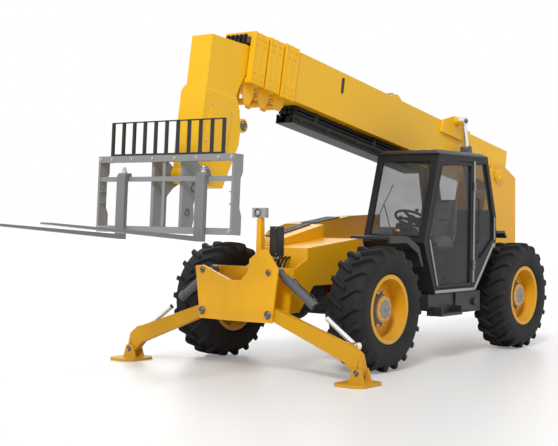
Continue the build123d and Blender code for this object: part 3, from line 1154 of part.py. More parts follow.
def lid(wall):
    """The bonnet's outside when wall is 0, or the space under it."""
    x0, x1 = POD_REAR_X + wall, POD_FRONT_X - wall
    y0, y1 = POD_OUTER_Y + wall, POD_INNER_Y - wall
    low = POD_RIM_Z + (FIT if not wall else -1)
    along = slab("y", y0, y1, [
        (x0, low), (x1, low), (x1, BONNET_FRONT_Z - wall),
        (POD_REAR_X + BONNET_CREASE, BONNET_CREASE_Z - wall), (x0, BONNET_REAR_Z - wall)])
    across = slab("x", x0 - 1, x1 + 1, [
        (y0, low), (y1, low), (y1, BONNET_REAR_Z + 10), (y1 - BONNET_SHOULDER, BONNET_REAR_Z + 10 - wall),
        (y0 + BONNET_SHOULDER, BONNET_SHOULDER_Z - wall), (y0, BONNET_OUTER_Z - wall)])
    return along & across


def grille(x0, x1, z0, z1, y0, y1, bars):
    """A slatted panel that lies on a slope from (x0, z0) down to (x1, z1)."""
    slope = (z1 - z0) / (x1 - x0)
    height = GRILLE_HEIGHT
    panel = slab("y", y0, y1, [(x0, z0), (x1, z1), (x1, z1 + height), (x0, z0 + height)])
    pitch = (x1 - x0 - 20) / bars
    gaps = []
    for i in range(bars):
        a = x0 + 20 + i * pitch
        b = a + pitch - 20
        low, high = z0 + (a - x0) * slope + 3, z0 + (b - x0) * slope + 3
        gaps.append(slab("y", y0 + 20, y1 - 20, [(a, low), (b, high), (b, high + 50), (a, low + 50)]))
    return panel - fuse(*gaps)


def bonnet_grille():
    """The air intake on the bonnet's top, along its inner edge."""
    slope = (BONNET_FRONT_Z - BONNET_CREASE_Z) / (POD_FRONT_X - POD_REAR_X - BONNET_CREASE)
    x0, x1 = POD_REAR_X + BONNET_CREASE + 200, POD_FRONT_X - 30
    z0, z1 = (BONNET_FRONT_Z + (x - POD_FRONT_X) * slope for x in (x0, x1))
    return grille(x0, x1, z0, z1, POD_INNER_Y - 218, POD_INNER_Y - 22, BONNET_SLATS)


def nose_grille():
    """The cowl's air intake."""
    rear, front = NOSE_REAR_X + 2, NOSE_FRONT_X - 200
    slope = (NOSE_TOP_Z + 90 - COWL_TOP_Z) / (front - rear)
    x0, x1 = rear + 30, front - 60
    z0, z1 = (COWL_TOP_Z + (x - rear) * slope for x in (x0, x1))
    return grille(x0, x1, z0, z1, COWL_OUTER_Y + 14, COWL_OUTER_Y + 150, NOSE_SLATS)


def engine():
    """The engine on its two bearers."""
    x0, x1 = POD_REAR_X + 160, POD_FRONT_X - 330
    y0, y1 = POD_OUTER_Y + 100, POD_INNER_Y - 128
    floor = POD_BOTTOM_Z + POD_WALL
    body = block(x0, x1, y0, y1, ENGINE_BOTTOM_Z, ENGINE_TOP_Z)
    bearers = [block(x, x + 200, y0, y1, floor, ENGINE_BOTTOM_Z + 1) for x in (x0 + 150, x1 - 300)]
    middle = (y0 + y1) / 2
    fan = long_rod(x1 - 1, x1 + 60, middle, ENGINE_TOP_Z - 300, 200)
    pulley = long_rod(x1 + 59, x1 + 90, middle, ENGINE_TOP_Z - 300, 70)
    heads = [block(x0 + 60 + i * 190, x0 + 230 + i * 190, middle - 110, middle + 60, ENGINE_TOP_Z - 1,
                   ENGINE_TOP_Z + 55) for i in range(4)]
    manifold = long_rod(x0 + 60, x1 - 90, y0 - 22, ENGINE_TOP_Z - 110, 38)
    sump = block(x0 + 380, x1 - 320, y0 + 60, y1 - 60, floor + 12, ENGINE_BOTTOM_Z + 1)
    return fuse(body, *bearers, fan, pulley, *heads, manifold, sump)


NODES["engine_pod"] = pod()
NODES["front_cowl"] = front_cowl()
NODES["bonnet"] = bonnet()
NODES["bonnet_grille"] = bonnet_grille()
NODES["nose_grille"] = nose_grille()
NODES["engine_block"] = engine()


# ---------------------------------------------------------------- origin under the middle, and the files
REACH = Compound([solid for shape in NODES.values() for solid in shape.solids()]).bounding_box()
MIDDLE_X = (REACH.min.X + REACH.max.X) / 2


def main():
    """Write one STEP file for each sub-part."""
    os.makedirs("parts", exist_ok=True)
    for name, shape in NODES.items():
        export_step(Pos(-MIDDLE_X, 0, 0) * shape, f"parts/{name}.step")


main()
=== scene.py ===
"""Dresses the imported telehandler: its finishes, its fine pieces, the studio and the camera."""
import json
import logging
import math
from contextlib import contextmanager
from dataclasses import dataclass
from enum import Enum
from typing import Callable, Iterator, Sequence

import bmesh
import bpy
from mathutils import Matrix, Vector


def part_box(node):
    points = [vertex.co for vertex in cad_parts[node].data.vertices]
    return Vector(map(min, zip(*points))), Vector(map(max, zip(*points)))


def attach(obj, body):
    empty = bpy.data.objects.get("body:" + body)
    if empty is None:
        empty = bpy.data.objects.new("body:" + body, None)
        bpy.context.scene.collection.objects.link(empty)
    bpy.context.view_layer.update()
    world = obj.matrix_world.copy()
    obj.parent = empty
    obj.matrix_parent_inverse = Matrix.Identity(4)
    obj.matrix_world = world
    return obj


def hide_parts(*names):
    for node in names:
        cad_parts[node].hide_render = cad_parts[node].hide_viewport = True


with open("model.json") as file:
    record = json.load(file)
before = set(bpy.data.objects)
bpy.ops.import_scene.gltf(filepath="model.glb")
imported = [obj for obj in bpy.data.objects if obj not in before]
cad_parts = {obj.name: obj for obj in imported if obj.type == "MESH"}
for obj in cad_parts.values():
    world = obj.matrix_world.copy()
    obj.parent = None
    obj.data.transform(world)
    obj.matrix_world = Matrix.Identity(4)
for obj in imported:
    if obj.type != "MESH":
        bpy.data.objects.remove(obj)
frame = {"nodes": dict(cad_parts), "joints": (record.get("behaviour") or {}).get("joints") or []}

LOG = logging.getLogger("telehandler")
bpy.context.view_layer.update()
Point = Sequence[float]
Outline = Sequence[tuple[float, float]]
Test = Callable[[Vector, Vector], bool]


# ------------------------------------------------------------------ shader maths
class Value:
    """A number's socket that Python's operators work on."""

    def __init__(self, sheet: "Sheet", socket: bpy.types.NodeSocket) -> None:
        """Keeps the socket and the sheet of nodes that it belongs to."""
        self.sheet, self.socket = sheet, socket

    def _with(self, operation: str, first: "Operand", second: "Operand") -> "Value":
        """Adds one Math node."""
        made = self.sheet.node("ShaderNodeMath", {"operation": operation}, {0: first, 1: second})
        return Value(self.sheet, made.outputs[0])

    def __add__(self, other: "Operand") -> "Value":
        """self + other."""
        return self._with("ADD", self, other)

    def __radd__(self, other: "Operand") -> "Value":
        """other + self."""
        return self._with("ADD", other, self)

    def __sub__(self, other: "Operand") -> "Value":
        """self - other."""
        return self._with("SUBTRACT", self, other)

    def __rsub__(self, other: "Operand") -> "Value":
        """other - self."""
        return self._with("SUBTRACT", other, self)

    def __mul__(self, other: "Operand") -> "Value":
        """self * other."""
        return self._with("MULTIPLY", self, other)

    def __rmul__(self, other: "Operand") -> "Value":
        """other * self."""
        return self._with("MULTIPLY", other, self)

    def at_least(self, other: "Operand") -> "Value":
        """The greater of the two."""
        return self._with("MAXIMUM", self, other)


Operand = Value | float


class Sheet:
    """The nodes of one material or world."""

    def __init__(self, tree: bpy.types.NodeTree) -> None:
        """Starts with an empty tree."""
        self.tree = tree
        tree.nodes.clear()

    def node(self, kind: str, settings: dict | None = None, inputs: dict | None = None) -> bpy.types.Node:
        """Adds a node, sets it up and feeds it.

        Args:
            kind: the node's type, such as ShaderNodeMath.
            settings: its own properties, and "stops" for a colour ramp.
            inputs: values or sockets, by the socket's name or number.

        Returns:
            The node.
        """
        made = self.tree.nodes.new(kind)
        for name, value in (settings or {}).items():
            if name == "stops":
                ramp = made.color_ramp
                while len(ramp.elements) < len(value):
                    ramp.elements.new(0.5)
                for element, (place, level) in zip(ramp.elements, value):
                    element.position = place
                    element.color = (level, level, level, 1)
            else:
                setattr(made, name, value)
        for name, value in (inputs or {}).items():
            self.feed(made.inputs[name], value)
        return made

    def feed(self, socket: bpy.types.NodeSocket, value: object) -> None:
        """Sets or links one socket."""
        if isinstance(value, Value):
            self.tree.links.new(value.socket, socket)
        elif isinstance(value, bpy.types.NodeSocket):
            self.tree.links.new(value, socket)
        elif isinstance(value, tuple) and len(value) == 3 and socket.type == "RGBA":
            socket.default_value = (*value, 1)
        else:
            socket.default_value = value

    def place(self) -> bpy.types.NodeSocket:
        """The point on the piece, in metres."""
        return self.node("ShaderNodeTexCoord").outputs["Object"]

    def part_of_place(self, letter: str) -> Value:
        """One coordinate of the point on the piece."""
        split = self.node("ShaderNodeSeparateXYZ", None, {0: self.place()})
        return Value(self, split.outputs[letter])

    def grain(self, scale: float, detail: float = 3.0, stretch: Point = (1, 1, 1)) -> Value:
        """Noise from 0 to 1, with so many grains to the metre."""
        mapped = self.node("ShaderNodeMapping", None, {"Vector": self.place(), "Scale": tuple(stretch)})
        noise = self.node("ShaderNodeTexNoise", None, {
            "Vector": mapped.outputs[0], "Scale": scale, "Detail": detail})
        return Value(self, noise.outputs["Fac"])

    def ramp(self, value: Value, *stops: tuple[float, float]) -> Value:
        """The value read through a ramp of (place, level) stops."""
        made = self.node("ShaderNodeValToRGB", {"stops": stops}, {0: value})
        return Value(self, made.outputs["Color"])

    def blend(self, factor: Operand, first: object, second: object) -> bpy.types.NodeSocket:
        """A colour between two."""
        made = self.node("ShaderNodeMix", {"data_type": "RGBA"}, {0: factor, 6: first, 7: second})
        return made.outputs[2]

    def relief(self, height: Value, strength: float, distance: float) -> bpy.types.NodeSocket:
        """A bumped normal."""
        made = self.node("ShaderNodeBump", None, {
            "Height": height, "Strength": strength, "Distance": distance})
        return made.outputs["Normal"]


# ------------------------------------------------------------------ finishes
Colour = tuple[float, float, float]


@dataclass(frozen=True)
class Finish:
    """A finish: its name and the colour it has all over before any variation."""

    name: str
    colour: Colour

    def surface(self, sheet: Sheet) -> dict:
        """The inputs of the shader. Each kind of finish gives its own."""
        return {"Base Color": self.colour}

    def material(self) -> bpy.types.Material:
        """The finish as a material, made on first use."""
        known = bpy.data.materials.get(self.name)
        if known:
            return known
        made = bpy.data.materials.new(self.name)
        made.use_nodes = True
        sheet = Sheet(made.node_tree)
        shader = sheet.node("ShaderNodeBsdfPrincipled", None, self.surface(sheet))
        sheet.node("ShaderNodeOutputMaterial", None, {"Surface": shader.outputs[0]})
        made.diffuse_color = (*self.colour, 1)
        return made


@dataclass(frozen=True)
class Enamel(Finish):
    """Sprayed paint: slight flow in its sheen, paler rubbed patches and grime low down."""

    sheen: float = 0.32
    rub: float = 0.25
    grime: float = 0.35
    grime_top: float = 1.1
    gloss: float = 0.32

    def surface(self, sheet: Sheet) -> dict:
        """Paint with mottling, dust and orange peel."""
        wide = sheet.grain(1.3, 4)
        fine = sheet.grain(38, 5)
        low = sheet.ramp(sheet.part_of_place("Z") * (1 / self.grime_top), (0.0, 1.0), (1.0, 0.0))
        dust = sheet.ramp(low * 0.55 + wide * 0.5 + fine * 0.25, (0.62, 0.0), (0.95, 1.0)) * self.grime
        dark = tuple(c * 0.72 for c in self.colour)
        pale = tuple(min(1.0, c * 1.07 + 0.004) for c in self.colour)
        toned = sheet.blend(sheet.ramp(wide, (0.3, 0.0), (0.7, 1.0)) * self.rub, self.colour, pale)
        shaded = sheet.blend(sheet.ramp(fine, (0.58, 0.0), (0.8, 1.0)) * (self.rub * 0.5), toned, dark)
        coloured = sheet.blend(dust, shaded, (0.30, 0.25, 0.18))
        peel = sheet.grain(220, 2)
        return {
            "Base Color": coloured,
            "Roughness": self.sheen + fine * 0.12 + dust * 0.35,
            "Specular IOR Level": self.gloss,
            "Coat Weight": self.gloss * 0.22,
            "Coat Roughness": 0.12,
            "Normal": sheet.relief(peel * 0.3 + fine * 0.7, 0.08, 0.002)}


@dataclass(frozen=True)
class Rubber(Finish):
    """Tyre rubber: dull, grained, with a dusty bloom."""

    bloom: float = 0.5

    def surface(self, sheet: Sheet) -> dict:
        """Rubber with bloom and a moulded grain."""
        patch = sheet.grain(4, 5)
        fine = sheet.grain(120, 3)
        dust = sheet.ramp(patch * 0.7 + fine * 0.3, (0.42, 0.0), (0.72, 1.0)) * self.bloom
        pale = tuple(c * 2.2 + 0.004 for c in self.colour)
        return {
            "Base Color": sheet.blend(dust, self.colour, pale),
            "Roughness": 0.58 + fine * 0.2,
            "Specular IOR Level": 0.25,
            "Normal": sheet.relief(fine + patch * 2.0, 0.25, 0.002)}


@dataclass(frozen=True)
class Steel(Finish):
    """Bare or plated metal with marks along one direction."""

    sheen: float = 0.2
    marks: float = 0.15
    along: Point = (1, 1, 1)

    def surface(self, sheet: Sheet) -> dict:
        """Metal with fine drawn marks."""
        drawn = sheet.grain(60, 4, self.along)
        dull = tuple(c * 0.7 for c in self.colour)
        return {
            "Base Color": sheet.blend(sheet.ramp(drawn, (0.35, 0.0), (0.75, 1.0)) * self.marks, self.colour, dull),
            "Metallic": 1.0,
            "Roughness": self.sheen + drawn * 0.15,
            "Normal": sheet.relief(drawn, self.marks * 0.4, 0.001)}


@dataclass(frozen=True)
class Moulding(Finish):
    """Moulded plastic or powder coat with a leathery grain."""

    sheen: float = 0.45
    grain_scale: float = 260.0
    depth: float = 0.25

    def surface(self, sheet: Sheet) -> dict:
        """Plastic with an etched grain and faint scuffs."""
        etched = sheet.grain(self.grain_scale, 2)
        scuffs = sheet.ramp(sheet.grain(9, 6), (0.5, 0.0), (0.75, 1.0))
        pale = tuple(c * 1.5 + 0.02 for c in self.colour)
        return {
            "Base Color": sheet.blend(scuffs * 0.4, self.colour, pale),
            "Roughness": self.sheen + scuffs * 0.12 + etched * 0.08,
            "Normal": sheet.relief(etched, self.depth, 0.001)}


@dataclass(frozen=True)
class Fabric(Finish):
    """Woven seat cloth."""

    threads: float = 420.0

    def surface(self, sheet: Sheet) -> dict:
        """Cloth with crossing threads and paler worn patches."""
        weave = sheet.node("ShaderNodeTexWave", {"wave_type": "BANDS", "bands_direction": "DIAGONAL"}, {
            "Vector": sheet.place(), "Scale": self.threads / 6, "Distortion": 1.5})
        across = Value(sheet, weave.outputs["Fac"])
        worn = sheet.ramp(sheet.grain(7, 4), (0.4, 0.0), (0.7, 1.0))
        pale = tuple(c * 1.6 + 0.03 for c in self.colour)
        return {
            "Base Color": sheet.blend(worn * 0.5 + across * 0.08, self.colour, pale),
            "Roughness": 0.85 + across * 0.1,
            "Sheen Weight": 0.3,
            "Normal": sheet.relief(across + sheet.grain(300, 2), 0.15, 0.001)}


@dataclass(frozen=True)
class Pane(Finish):
    """Tinted glass, with a patchy film of dust."""

    cover: float = 0.26

    def surface(self, sheet: Sheet) -> dict:
        """A tinted film that is see-through."""
        film = sheet.ramp(sheet.grain(3, 5), (0.35, 0.0), (0.8, 1.0))
        return {
            "Base Color": self.colour,
            "Roughness": 0.03 + film * 0.06,
            "Alpha": self.cover + film * 0.06,
            "Specular IOR Level": 0.6}


@dataclass(frozen=True)
class Lamp(Finish):
    """A lamp's lens: moulded ribs over a pale reflector."""

    ribs: float = 140.0

    def surface(self, sheet: Sheet) -> dict:
        """A ribbed lens."""
        rib = sheet.node("ShaderNodeTexWave", {"bands_direction": "Z"}, {
            "Vector": sheet.place(), "Scale": self.ribs, "Distortion": 0.2})
        line = Value(sheet, rib.outputs["Fac"])
        dark = tuple(c * 0.6 for c in self.colour)
        return {
            "Base Color": sheet.blend(line, self.colour, dark),
            "Roughness": 0.08 + line * 0.1,
            "Coat Weight": 0.6,
            "Normal": sheet.relief(line, 0.5, 0.002)}


YELLOW = Enamel("boom_yellow_enamel", (0.90, 0.50, 0.008), grime=0.15)
DEEP_YELLOW = Enamel("frame_yellow_enamel", (0.84, 0.42, 0.005), grime=0.12)
# A darker copy of the yellow paint for the stabiliser legs and feet: painted shade, for the shade they sit in under the
# frame.
SHADED_LEG_YELLOW = Enamel("leg_yellow_painted_shade", (0.62, 0.31, 0.003), grime=0.1, gloss=0.2)
RIM_YELLOW = Enamel("rim_enamel", (0.72, 0.36, 0.012), sheen=0.30, grime=0.3, grime_top=1.0)
CHARCOAL = Enamel("charcoal_enamel", (0.013, 0.013, 0.014), sheen=0.36, grime=0.15, rub=0.2, gloss=0.18)
FORK_GREY = Enamel("carriage_grey_enamel", (0.25, 0.25, 0.25), sheen=0.34, grime=0.2, rub=0.5, grime_top=3.0)
FORK_BLACK = Enamel("fork_black_enamel", (0.02, 0.02, 0.022), sheen=0.3, grime=0.2, rub=0.5, grime_top=3.0)
FORK_STEEL = Enamel("fork_steel_enamel", (0.19, 0.19, 0.195), sheen=0.34, grime=0.2, rub=0.5, grime_top=3.0)
PALE_GREY = Enamel("trim_grey_enamel", (0.33, 0.33, 0.33), sheen=0.35, grime=0.3, grime_top=1.6)
BARREL_GREY = Enamel("barrel_grey_enamel", (0.10, 0.10, 0.115), sheen=0.28, grime=0.25)
HUB_GREY = Enamel("hub_grey_enamel", (0.24, 0.24, 0.25), sheen=0.35, grime=0.3)
TYRE = Rubber("drive_tyre_rubber", (0.012, 0.012, 0.0125), bloom=0.5)
SEAL = Rubber("seal_rubber", (0.012, 0.012, 0.012), bloom=0.2)
CHROME = Steel("bright_rod_chrome", (0.83, 0.83, 0.84), sheen=0.1, marks=0.08)
BOLT = Steel("bolt_zinc", (0.55, 0.54, 0.52), sheen=0.3, marks=0.4)
CAST = Steel("rough_cast_iron", (0.16, 0.15, 0.145), sheen=0.5, marks=0.5)
TRIM = Moulding("cab_trim_plastic", (0.030, 0.031, 0.033))
BLACK_TRIM = Moulding("black_trim_plastic", (0.014, 0.014, 0.015), sheen=0.38)
CLOTH = Fabric("seat_cloth", (0.16, 0.16, 0.165))
GLASS = Pane("tinted_pane", (0.045, 0.05, 0.052))
CLEAR_LENS = Lamp("clear_lens", (0.62, 0.63, 0.64))
AMBER_LENS = Lamp("amber_lens", (0.75, 0.24, 0.02))
RED_LENS = Lamp("red_lens", (0.45, 0.02, 0.015))
RED_TRIM = Moulding("red_trim_plastic", (0.30, 0.012, 0.010))


# ------------------------------------------------------------------ modelling by hand
class Across(Enum):
    """The axis square to a plate."""

    X = 0
    Y = 1
    Z = 2

    def point(self, level: float, a: float, b: float) -> Vector:
        """A point of a plate's outline at one level."""
        return Vector({0: (level, a, b), 1: (a, level, b), 2: (a, b, level)}[self.value])

    def along(self) -> Vector:
        """The axis as a direction."""
        return Vector(tuple(1.0 if i == self.value else 0.0 for i in range(3)))


class Pick(Enum):
    """What a selection in edit mode takes."""

    VERTS = (True, False, False)
    EDGES = (False, True, False)
    FACES = (False, False, True)


class Piece:
    """A mesh that is made and shaped with Blender's own operators."""

    def __init__(self, name: str) -> None:
        """Takes over the primitive that was just added, and bakes its place."""
        self.obj = bpy.context.object
        self.obj.name = self.obj.data.name = name
        bpy.ops.object.transform_apply(location=True, rotation=True, scale=True)

    # -------------------------------------------------- primitives
    @staticmethod
    def _bare() -> None:
        """Deselects everything before a primitive is added."""
        bpy.ops.object.select_all(action="DESELECT")

    @classmethod
    def block(cls, name: str, low: Point, high: Point) -> "Piece":
        """A box between two corners."""
        cls._bare()
        low, high = Vector(low), Vector(high)
        bpy.ops.mesh.primitive_cube_add(size=1, location=(low + high) / 2)
        bpy.context.object.scale = high - low
        return cls(name)

    @classmethod
    def rod(cls, name: str, start: Point, end: Point, radius: float, sides: int = 24,
            end_radius: float | None = None) -> "Piece":
        """A round bar, or a cone where the end's radius differs."""
        cls._bare()
        start, end = Vector(start), Vector(end)
        turn = (end - start).to_track_quat("Z", "Y").to_euler()
        bpy.ops.mesh.primitive_cone_add(
            vertices=sides, radius1=radius, radius2=radius if end_radius is None else end_radius,
            depth=(end - start).length, location=(start + end) / 2, rotation=turn)
        return cls(name)

    @classmethod
    def ring(cls, name: str, centre: Point, facing: Point, radius: float, thickness: float,
             sides: int = 40, around: int = 10) -> "Piece":
        """A torus."""
        cls._bare()
        bpy.ops.mesh.primitive_torus_add(
            location=centre, rotation=Vector(facing).to_track_quat("Z", "Y").to_euler(),
            major_radius=radius, minor_radius=thickness, major_segments=sides, minor_segments=around)
        return cls(name)

    @classmethod
    def flat(cls, name: str, points: Sequence[Vector], filled: bool = True) -> "Piece":
        """A polygon whose corners are moved one by one to their places."""
        cls._bare()
        fill = "NGON" if filled else "NOTHING"
        bpy.ops.mesh.primitive_circle_add(vertices=len(points), radius=1, fill_type=fill)
        piece = cls(name)
        with piece.edit(Pick.VERTS):
            mesh = bmesh.from_edit_mesh(piece.obj.data)
            for index, target in enumerate(points):
                mesh.verts.ensure_lookup_table()
                for vert in mesh.verts:
                    vert.select_set(vert.index == index)
                bpy.ops.transform.translate(value=target - mesh.verts[index].co)
        return piece

    @classmethod
    def plate(cls, name: str, across: Across, low: float, high: float, outline: Outline) -> "Piece":
        """A plate with a straight-sided outline, between two levels."""
        piece = cls.flat(name, [across.point(low, a, b) for a, b in outline])
        with piece.edit(Pick.FACES):
            bpy.ops.mesh.select_all(action="SELECT")
            bpy.ops.mesh.extrude_region_move(
                TRANSFORM_OT_translate={"value": across.along() * (high - low)})
            bpy.ops.mesh.select_all(action="SELECT")
            bpy.ops.mesh.normals_make_consistent(inside=False)
        return piece

    @classmethod
    def turned(cls, name: str, centre: Point, axis: Point, profile: Outline, steps: int = 48,
               closed: bool = True) -> "Piece":
        """A round body: a profile of (radius, distance along the axis) spun about that axis.

        Args:
            name: the piece's name.
            centre: where the axis has distance 0.
            axis: the axis's direction.
            profile: the points, in order.
            steps: how many sides the body has.
            closed: whether the last point joins the first.

        Returns:
            The piece.
        """
        along = Vector(axis).normalized()
        out = along.orthogonal().normalized()
        middle = Vector(centre)
        piece = cls.flat(name, [middle + out * r + along * d for r, d in profile], filled=False)
        first, last = (middle + out * profile[i][0] + along * profile[i][1] for i in (0, -1))
        with piece.edit(Pick.EDGES):
            if not closed:
                gap = (first + last) / 2
                piece.pick(lambda c, n: (c - gap).length < 1e-6)
                bpy.ops.mesh.delete(type="EDGE")
            bpy.ops.mesh.select_all(action="SELECT")
            bpy.ops.mesh.spin(steps=steps, angle=2 * math.pi, center=middle, axis=along)
            bpy.ops.mesh.select_all(action="SELECT")
            bpy.ops.mesh.remove_doubles(threshold=1e-5)
            bpy.ops.mesh.normals_make_consistent(inside=False)
        return piece

    @classmethod
    def pipe(cls, name: str, route: Sequence[Point], radius: float, sides: int = 5) -> "Piece":
        """A bent pipe along a smooth route."""
        cls._bare()
        curve = bpy.data.curves.new(name, "CURVE")
        curve.dimensions, curve.bevel_depth, curve.bevel_resolution = "3D", radius, sides
        curve.resolution_u = 6
        curve.use_fill_caps = True
        spline = curve.splines.new("NURBS")
        spline.points.add(len(route) - 1)
        for point, place in zip(spline.points, route):
            point.co = (*place, 1)
        spline.order_u, spline.use_endpoint_u = 3, True
        obj = bpy.data.objects.new(name, curve)
        bpy.context.scene.collection.objects.link(obj)
        bpy.context.view_layer.objects.active = obj
        obj.select_set(True)
        bpy.ops.object.convert(target="MESH")
        return cls(name)

    # -------------------------------------------------- edit mode
    @contextmanager
    def edit(self, pick: Pick) -> Iterator[None]:
        """Edit mode on this piece alone, with that kind of selection."""
        bpy.ops.object.select_all(action="DESELECT")
        self.obj.select_set(True)
        bpy.context.view_layer.objects.active = self.obj
        bpy.context.tool_settings.mesh_select_mode = pick.value
        bpy.ops.object.mode_set(mode="EDIT")
        self.kind = pick
        yield
        bpy.ops.object.mode_set(mode="OBJECT")

    def pick(self, test: Test) -> int:
        """Selects what the test of (middle, normal) is true for, and returns how much that is."""
        bpy.ops.mesh.select_all(action="DESELECT")
        mesh = bmesh.from_edit_mesh(self.obj.data)
        found = 0
        if self.kind is Pick.FACES:
            mesh.normal_update()
            for face in mesh.faces:
                if test(face.calc_center_median(), face.normal):
                    face.select_set(True)
                    found += 1
        elif self.kind is Pick.EDGES:
            for edge in mesh.edges:
                if test((edge.verts[0].co + edge.verts[1].co) / 2, edge.verts[1].co - edge.verts[0].co):
                    edge.select_set(True)
                    found += 1
        else:
            for vert in mesh.verts:
                if test(vert.co, vert.normal):
                    vert.select_set(True)
                    found += 1
        bmesh.update_edit_mesh(self.obj.data)
        return found

    def inset(self, test: Test, thickness: float, depth: float = 0.0) -> "Piece":
        """Insets the faces picked, and sinks or raises what is left of them."""
        with self.edit(Pick.FACES):
            if self.pick(test):
                bpy.ops.mesh.inset(thickness=thickness, depth=depth)
        return self

    def draw_out(self, test: Test, by: Point, taper: float = 1.0) -> "Piece":
        """Extrudes the faces picked by a vector, and scales the end."""
        with self.edit(Pick.FACES):
            if self.pick(test):
                bpy.ops.mesh.extrude_region_move(TRANSFORM_OT_translate={"value": Vector(by)})
                if taper != 1.0:
                    bpy.ops.transform.resize(value=(taper, taper, taper))
        return self

    def bevel(self, width: float, segments: int = 2, test: Test | None = None, angle: float = 30.0) -> "Piece":
        """Rounds the edges picked, or every edge that is sharper than the angle."""
        if test is None:
            return self.modify("BEVEL", width=width, segments=segments, limit_method="ANGLE",
                               angle_limit=math.radians(angle), harden_normals=False)
        with self.edit(Pick.EDGES):
            if self.pick(test):
                bpy.ops.mesh.bevel(offset=width, segments=segments, affect="EDGES")
        return self

    # -------------------------------------------------- whole pieces
    def modify(self, kind: str, **settings: object) -> "Piece":
        """Adds a modifier and applies it."""
        bpy.ops.object.select_all(action="DESELECT")
        self.obj.select_set(True)
        bpy.context.view_layer.objects.active = self.obj
        modifier = self.obj.modifiers.new(kind.title(), kind)
        for name, value in settings.items():
            setattr(modifier, name, value)
        bpy.ops.object.modifier_apply(modifier=modifier.name)
        return self

    def cut(self, tool: "Piece") -> "Piece":
        """Cuts another piece's shape out of this one, and deletes the tool."""
        self.modify("BOOLEAN", operation="DIFFERENCE", object=tool.obj, solver="EXACT")
        bpy.data.objects.remove(tool.obj)
        return self

    def smooth(self, angle: float = 35.0) -> "Piece":
        """Smooth shading, broken at edges sharper than the angle."""
        bpy.ops.object.select_all(action="DESELECT")
        self.obj.select_set(True)
        bpy.context.view_layer.objects.active = self.obj
        bpy.ops.object.shade_smooth_by_angle(angle=math.radians(angle))
        return self

    def copy(self, name: str, place: Matrix) -> "Piece":
        """A copy with its own mesh, moved or turned as the matrix says."""
        twin = Piece.__new__(Piece)
        twin.obj = self.obj.copy()
        twin.obj.data = self.obj.data.copy()
        twin.obj.name = twin.obj.data.name = name
        bpy.context.scene.collection.objects.link(twin.obj)
        twin.obj.data.transform(place)
        if place.determinant() < 0:
            twin.obj.data.flip_normals()
        return twin

    def move(self, place: Matrix) -> "Piece":
        """Moves or turns the mesh itself."""
        self.obj.data.transform(place)
        if place.determinant() < 0:
            self.obj.data.flip_normals()
        return self

    def join(self, others: Sequence["Piece"]) -> "Piece":
        """Joins other pieces into this one."""
        bpy.ops.object.select_all(action="DESELECT")
        for other in others:
            other.obj.select_set(True)
        self.obj.select_set(True)
        bpy.context.view_layer.objects.active = self.obj
        if others:
            bpy.ops.object.join()
        return self

    def paint(self, finish: Finish) -> "Piece":
        """Gives the whole piece one finish."""
        self.obj.data.materials.clear()
        self.obj.data.materials.append(finish.material())
        return self

    def fit(self, body: str, slot: str | None = None, stands_for: Sequence[str] = ()) -> "Piece":
        """Lets the piece ride on a body, in the place of CAD nodes if it stands for them."""
        if stands_for:
            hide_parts(*stands_for)
        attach(self.obj, body)
        LOG.info("%s: %d faces", self.obj.name, len(self.obj.data.polygons))
        return self


def shift(x: float = 0.0, y: float = 0.0, z: float = 0.0) -> Matrix:
    """A move."""
    return Matrix.Translation((x, y, z))


def turn(degrees: float, axis: str, about: Point = (0, 0, 0)) -> Matrix:
    """A turn about an axis through a point."""
    middle = Matrix.Translation(Vector(about))
    return middle @ Matrix.Rotation(math.radians(degrees), 4, axis) @ middle.inverted()


def flip_y() -> Matrix:
    """The mirror image across the machine's middle plane."""
    return Matrix.Scale(-1, 4, (0, 1, 0))


def joint_place(name: str) -> Vector:
    """Where a joint's axis passes."""
    return Vector(next(j["pos_m"] for j in frame["joints"] if j["name"] == name))


def middle_of(node: str) -> Vector:
    """The middle of a CAD node's box."""
    low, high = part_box(node)
    return (low + high) / 2


def paint_node(finish: Finish, *nodes: str, soften: float = 0.0) -> None:
    """Gives CAD nodes a finish, and rounds their sharp edges a little."""
    for node in nodes:
        obj = frame["nodes"][node]
        if not obj.material_slots:
            obj.data.materials.append(None)
        for place in obj.material_slots:
            place.material = finish.material()
        if soften:
            weld = obj.modifiers.new("Weld", "WELD")
            weld.merge_threshold = 1e-5
            rounder = obj.modifiers.new("Bevel", "BEVEL")
            rounder.width, rounder.segments = soften, 2
            rounder.limit_method, rounder.angle_limit = "ANGLE", math.radians(32)
            normals = obj.modifiers.new("Normals", "WEIGHTED_NORMAL")
            normals.keep_sharp = False


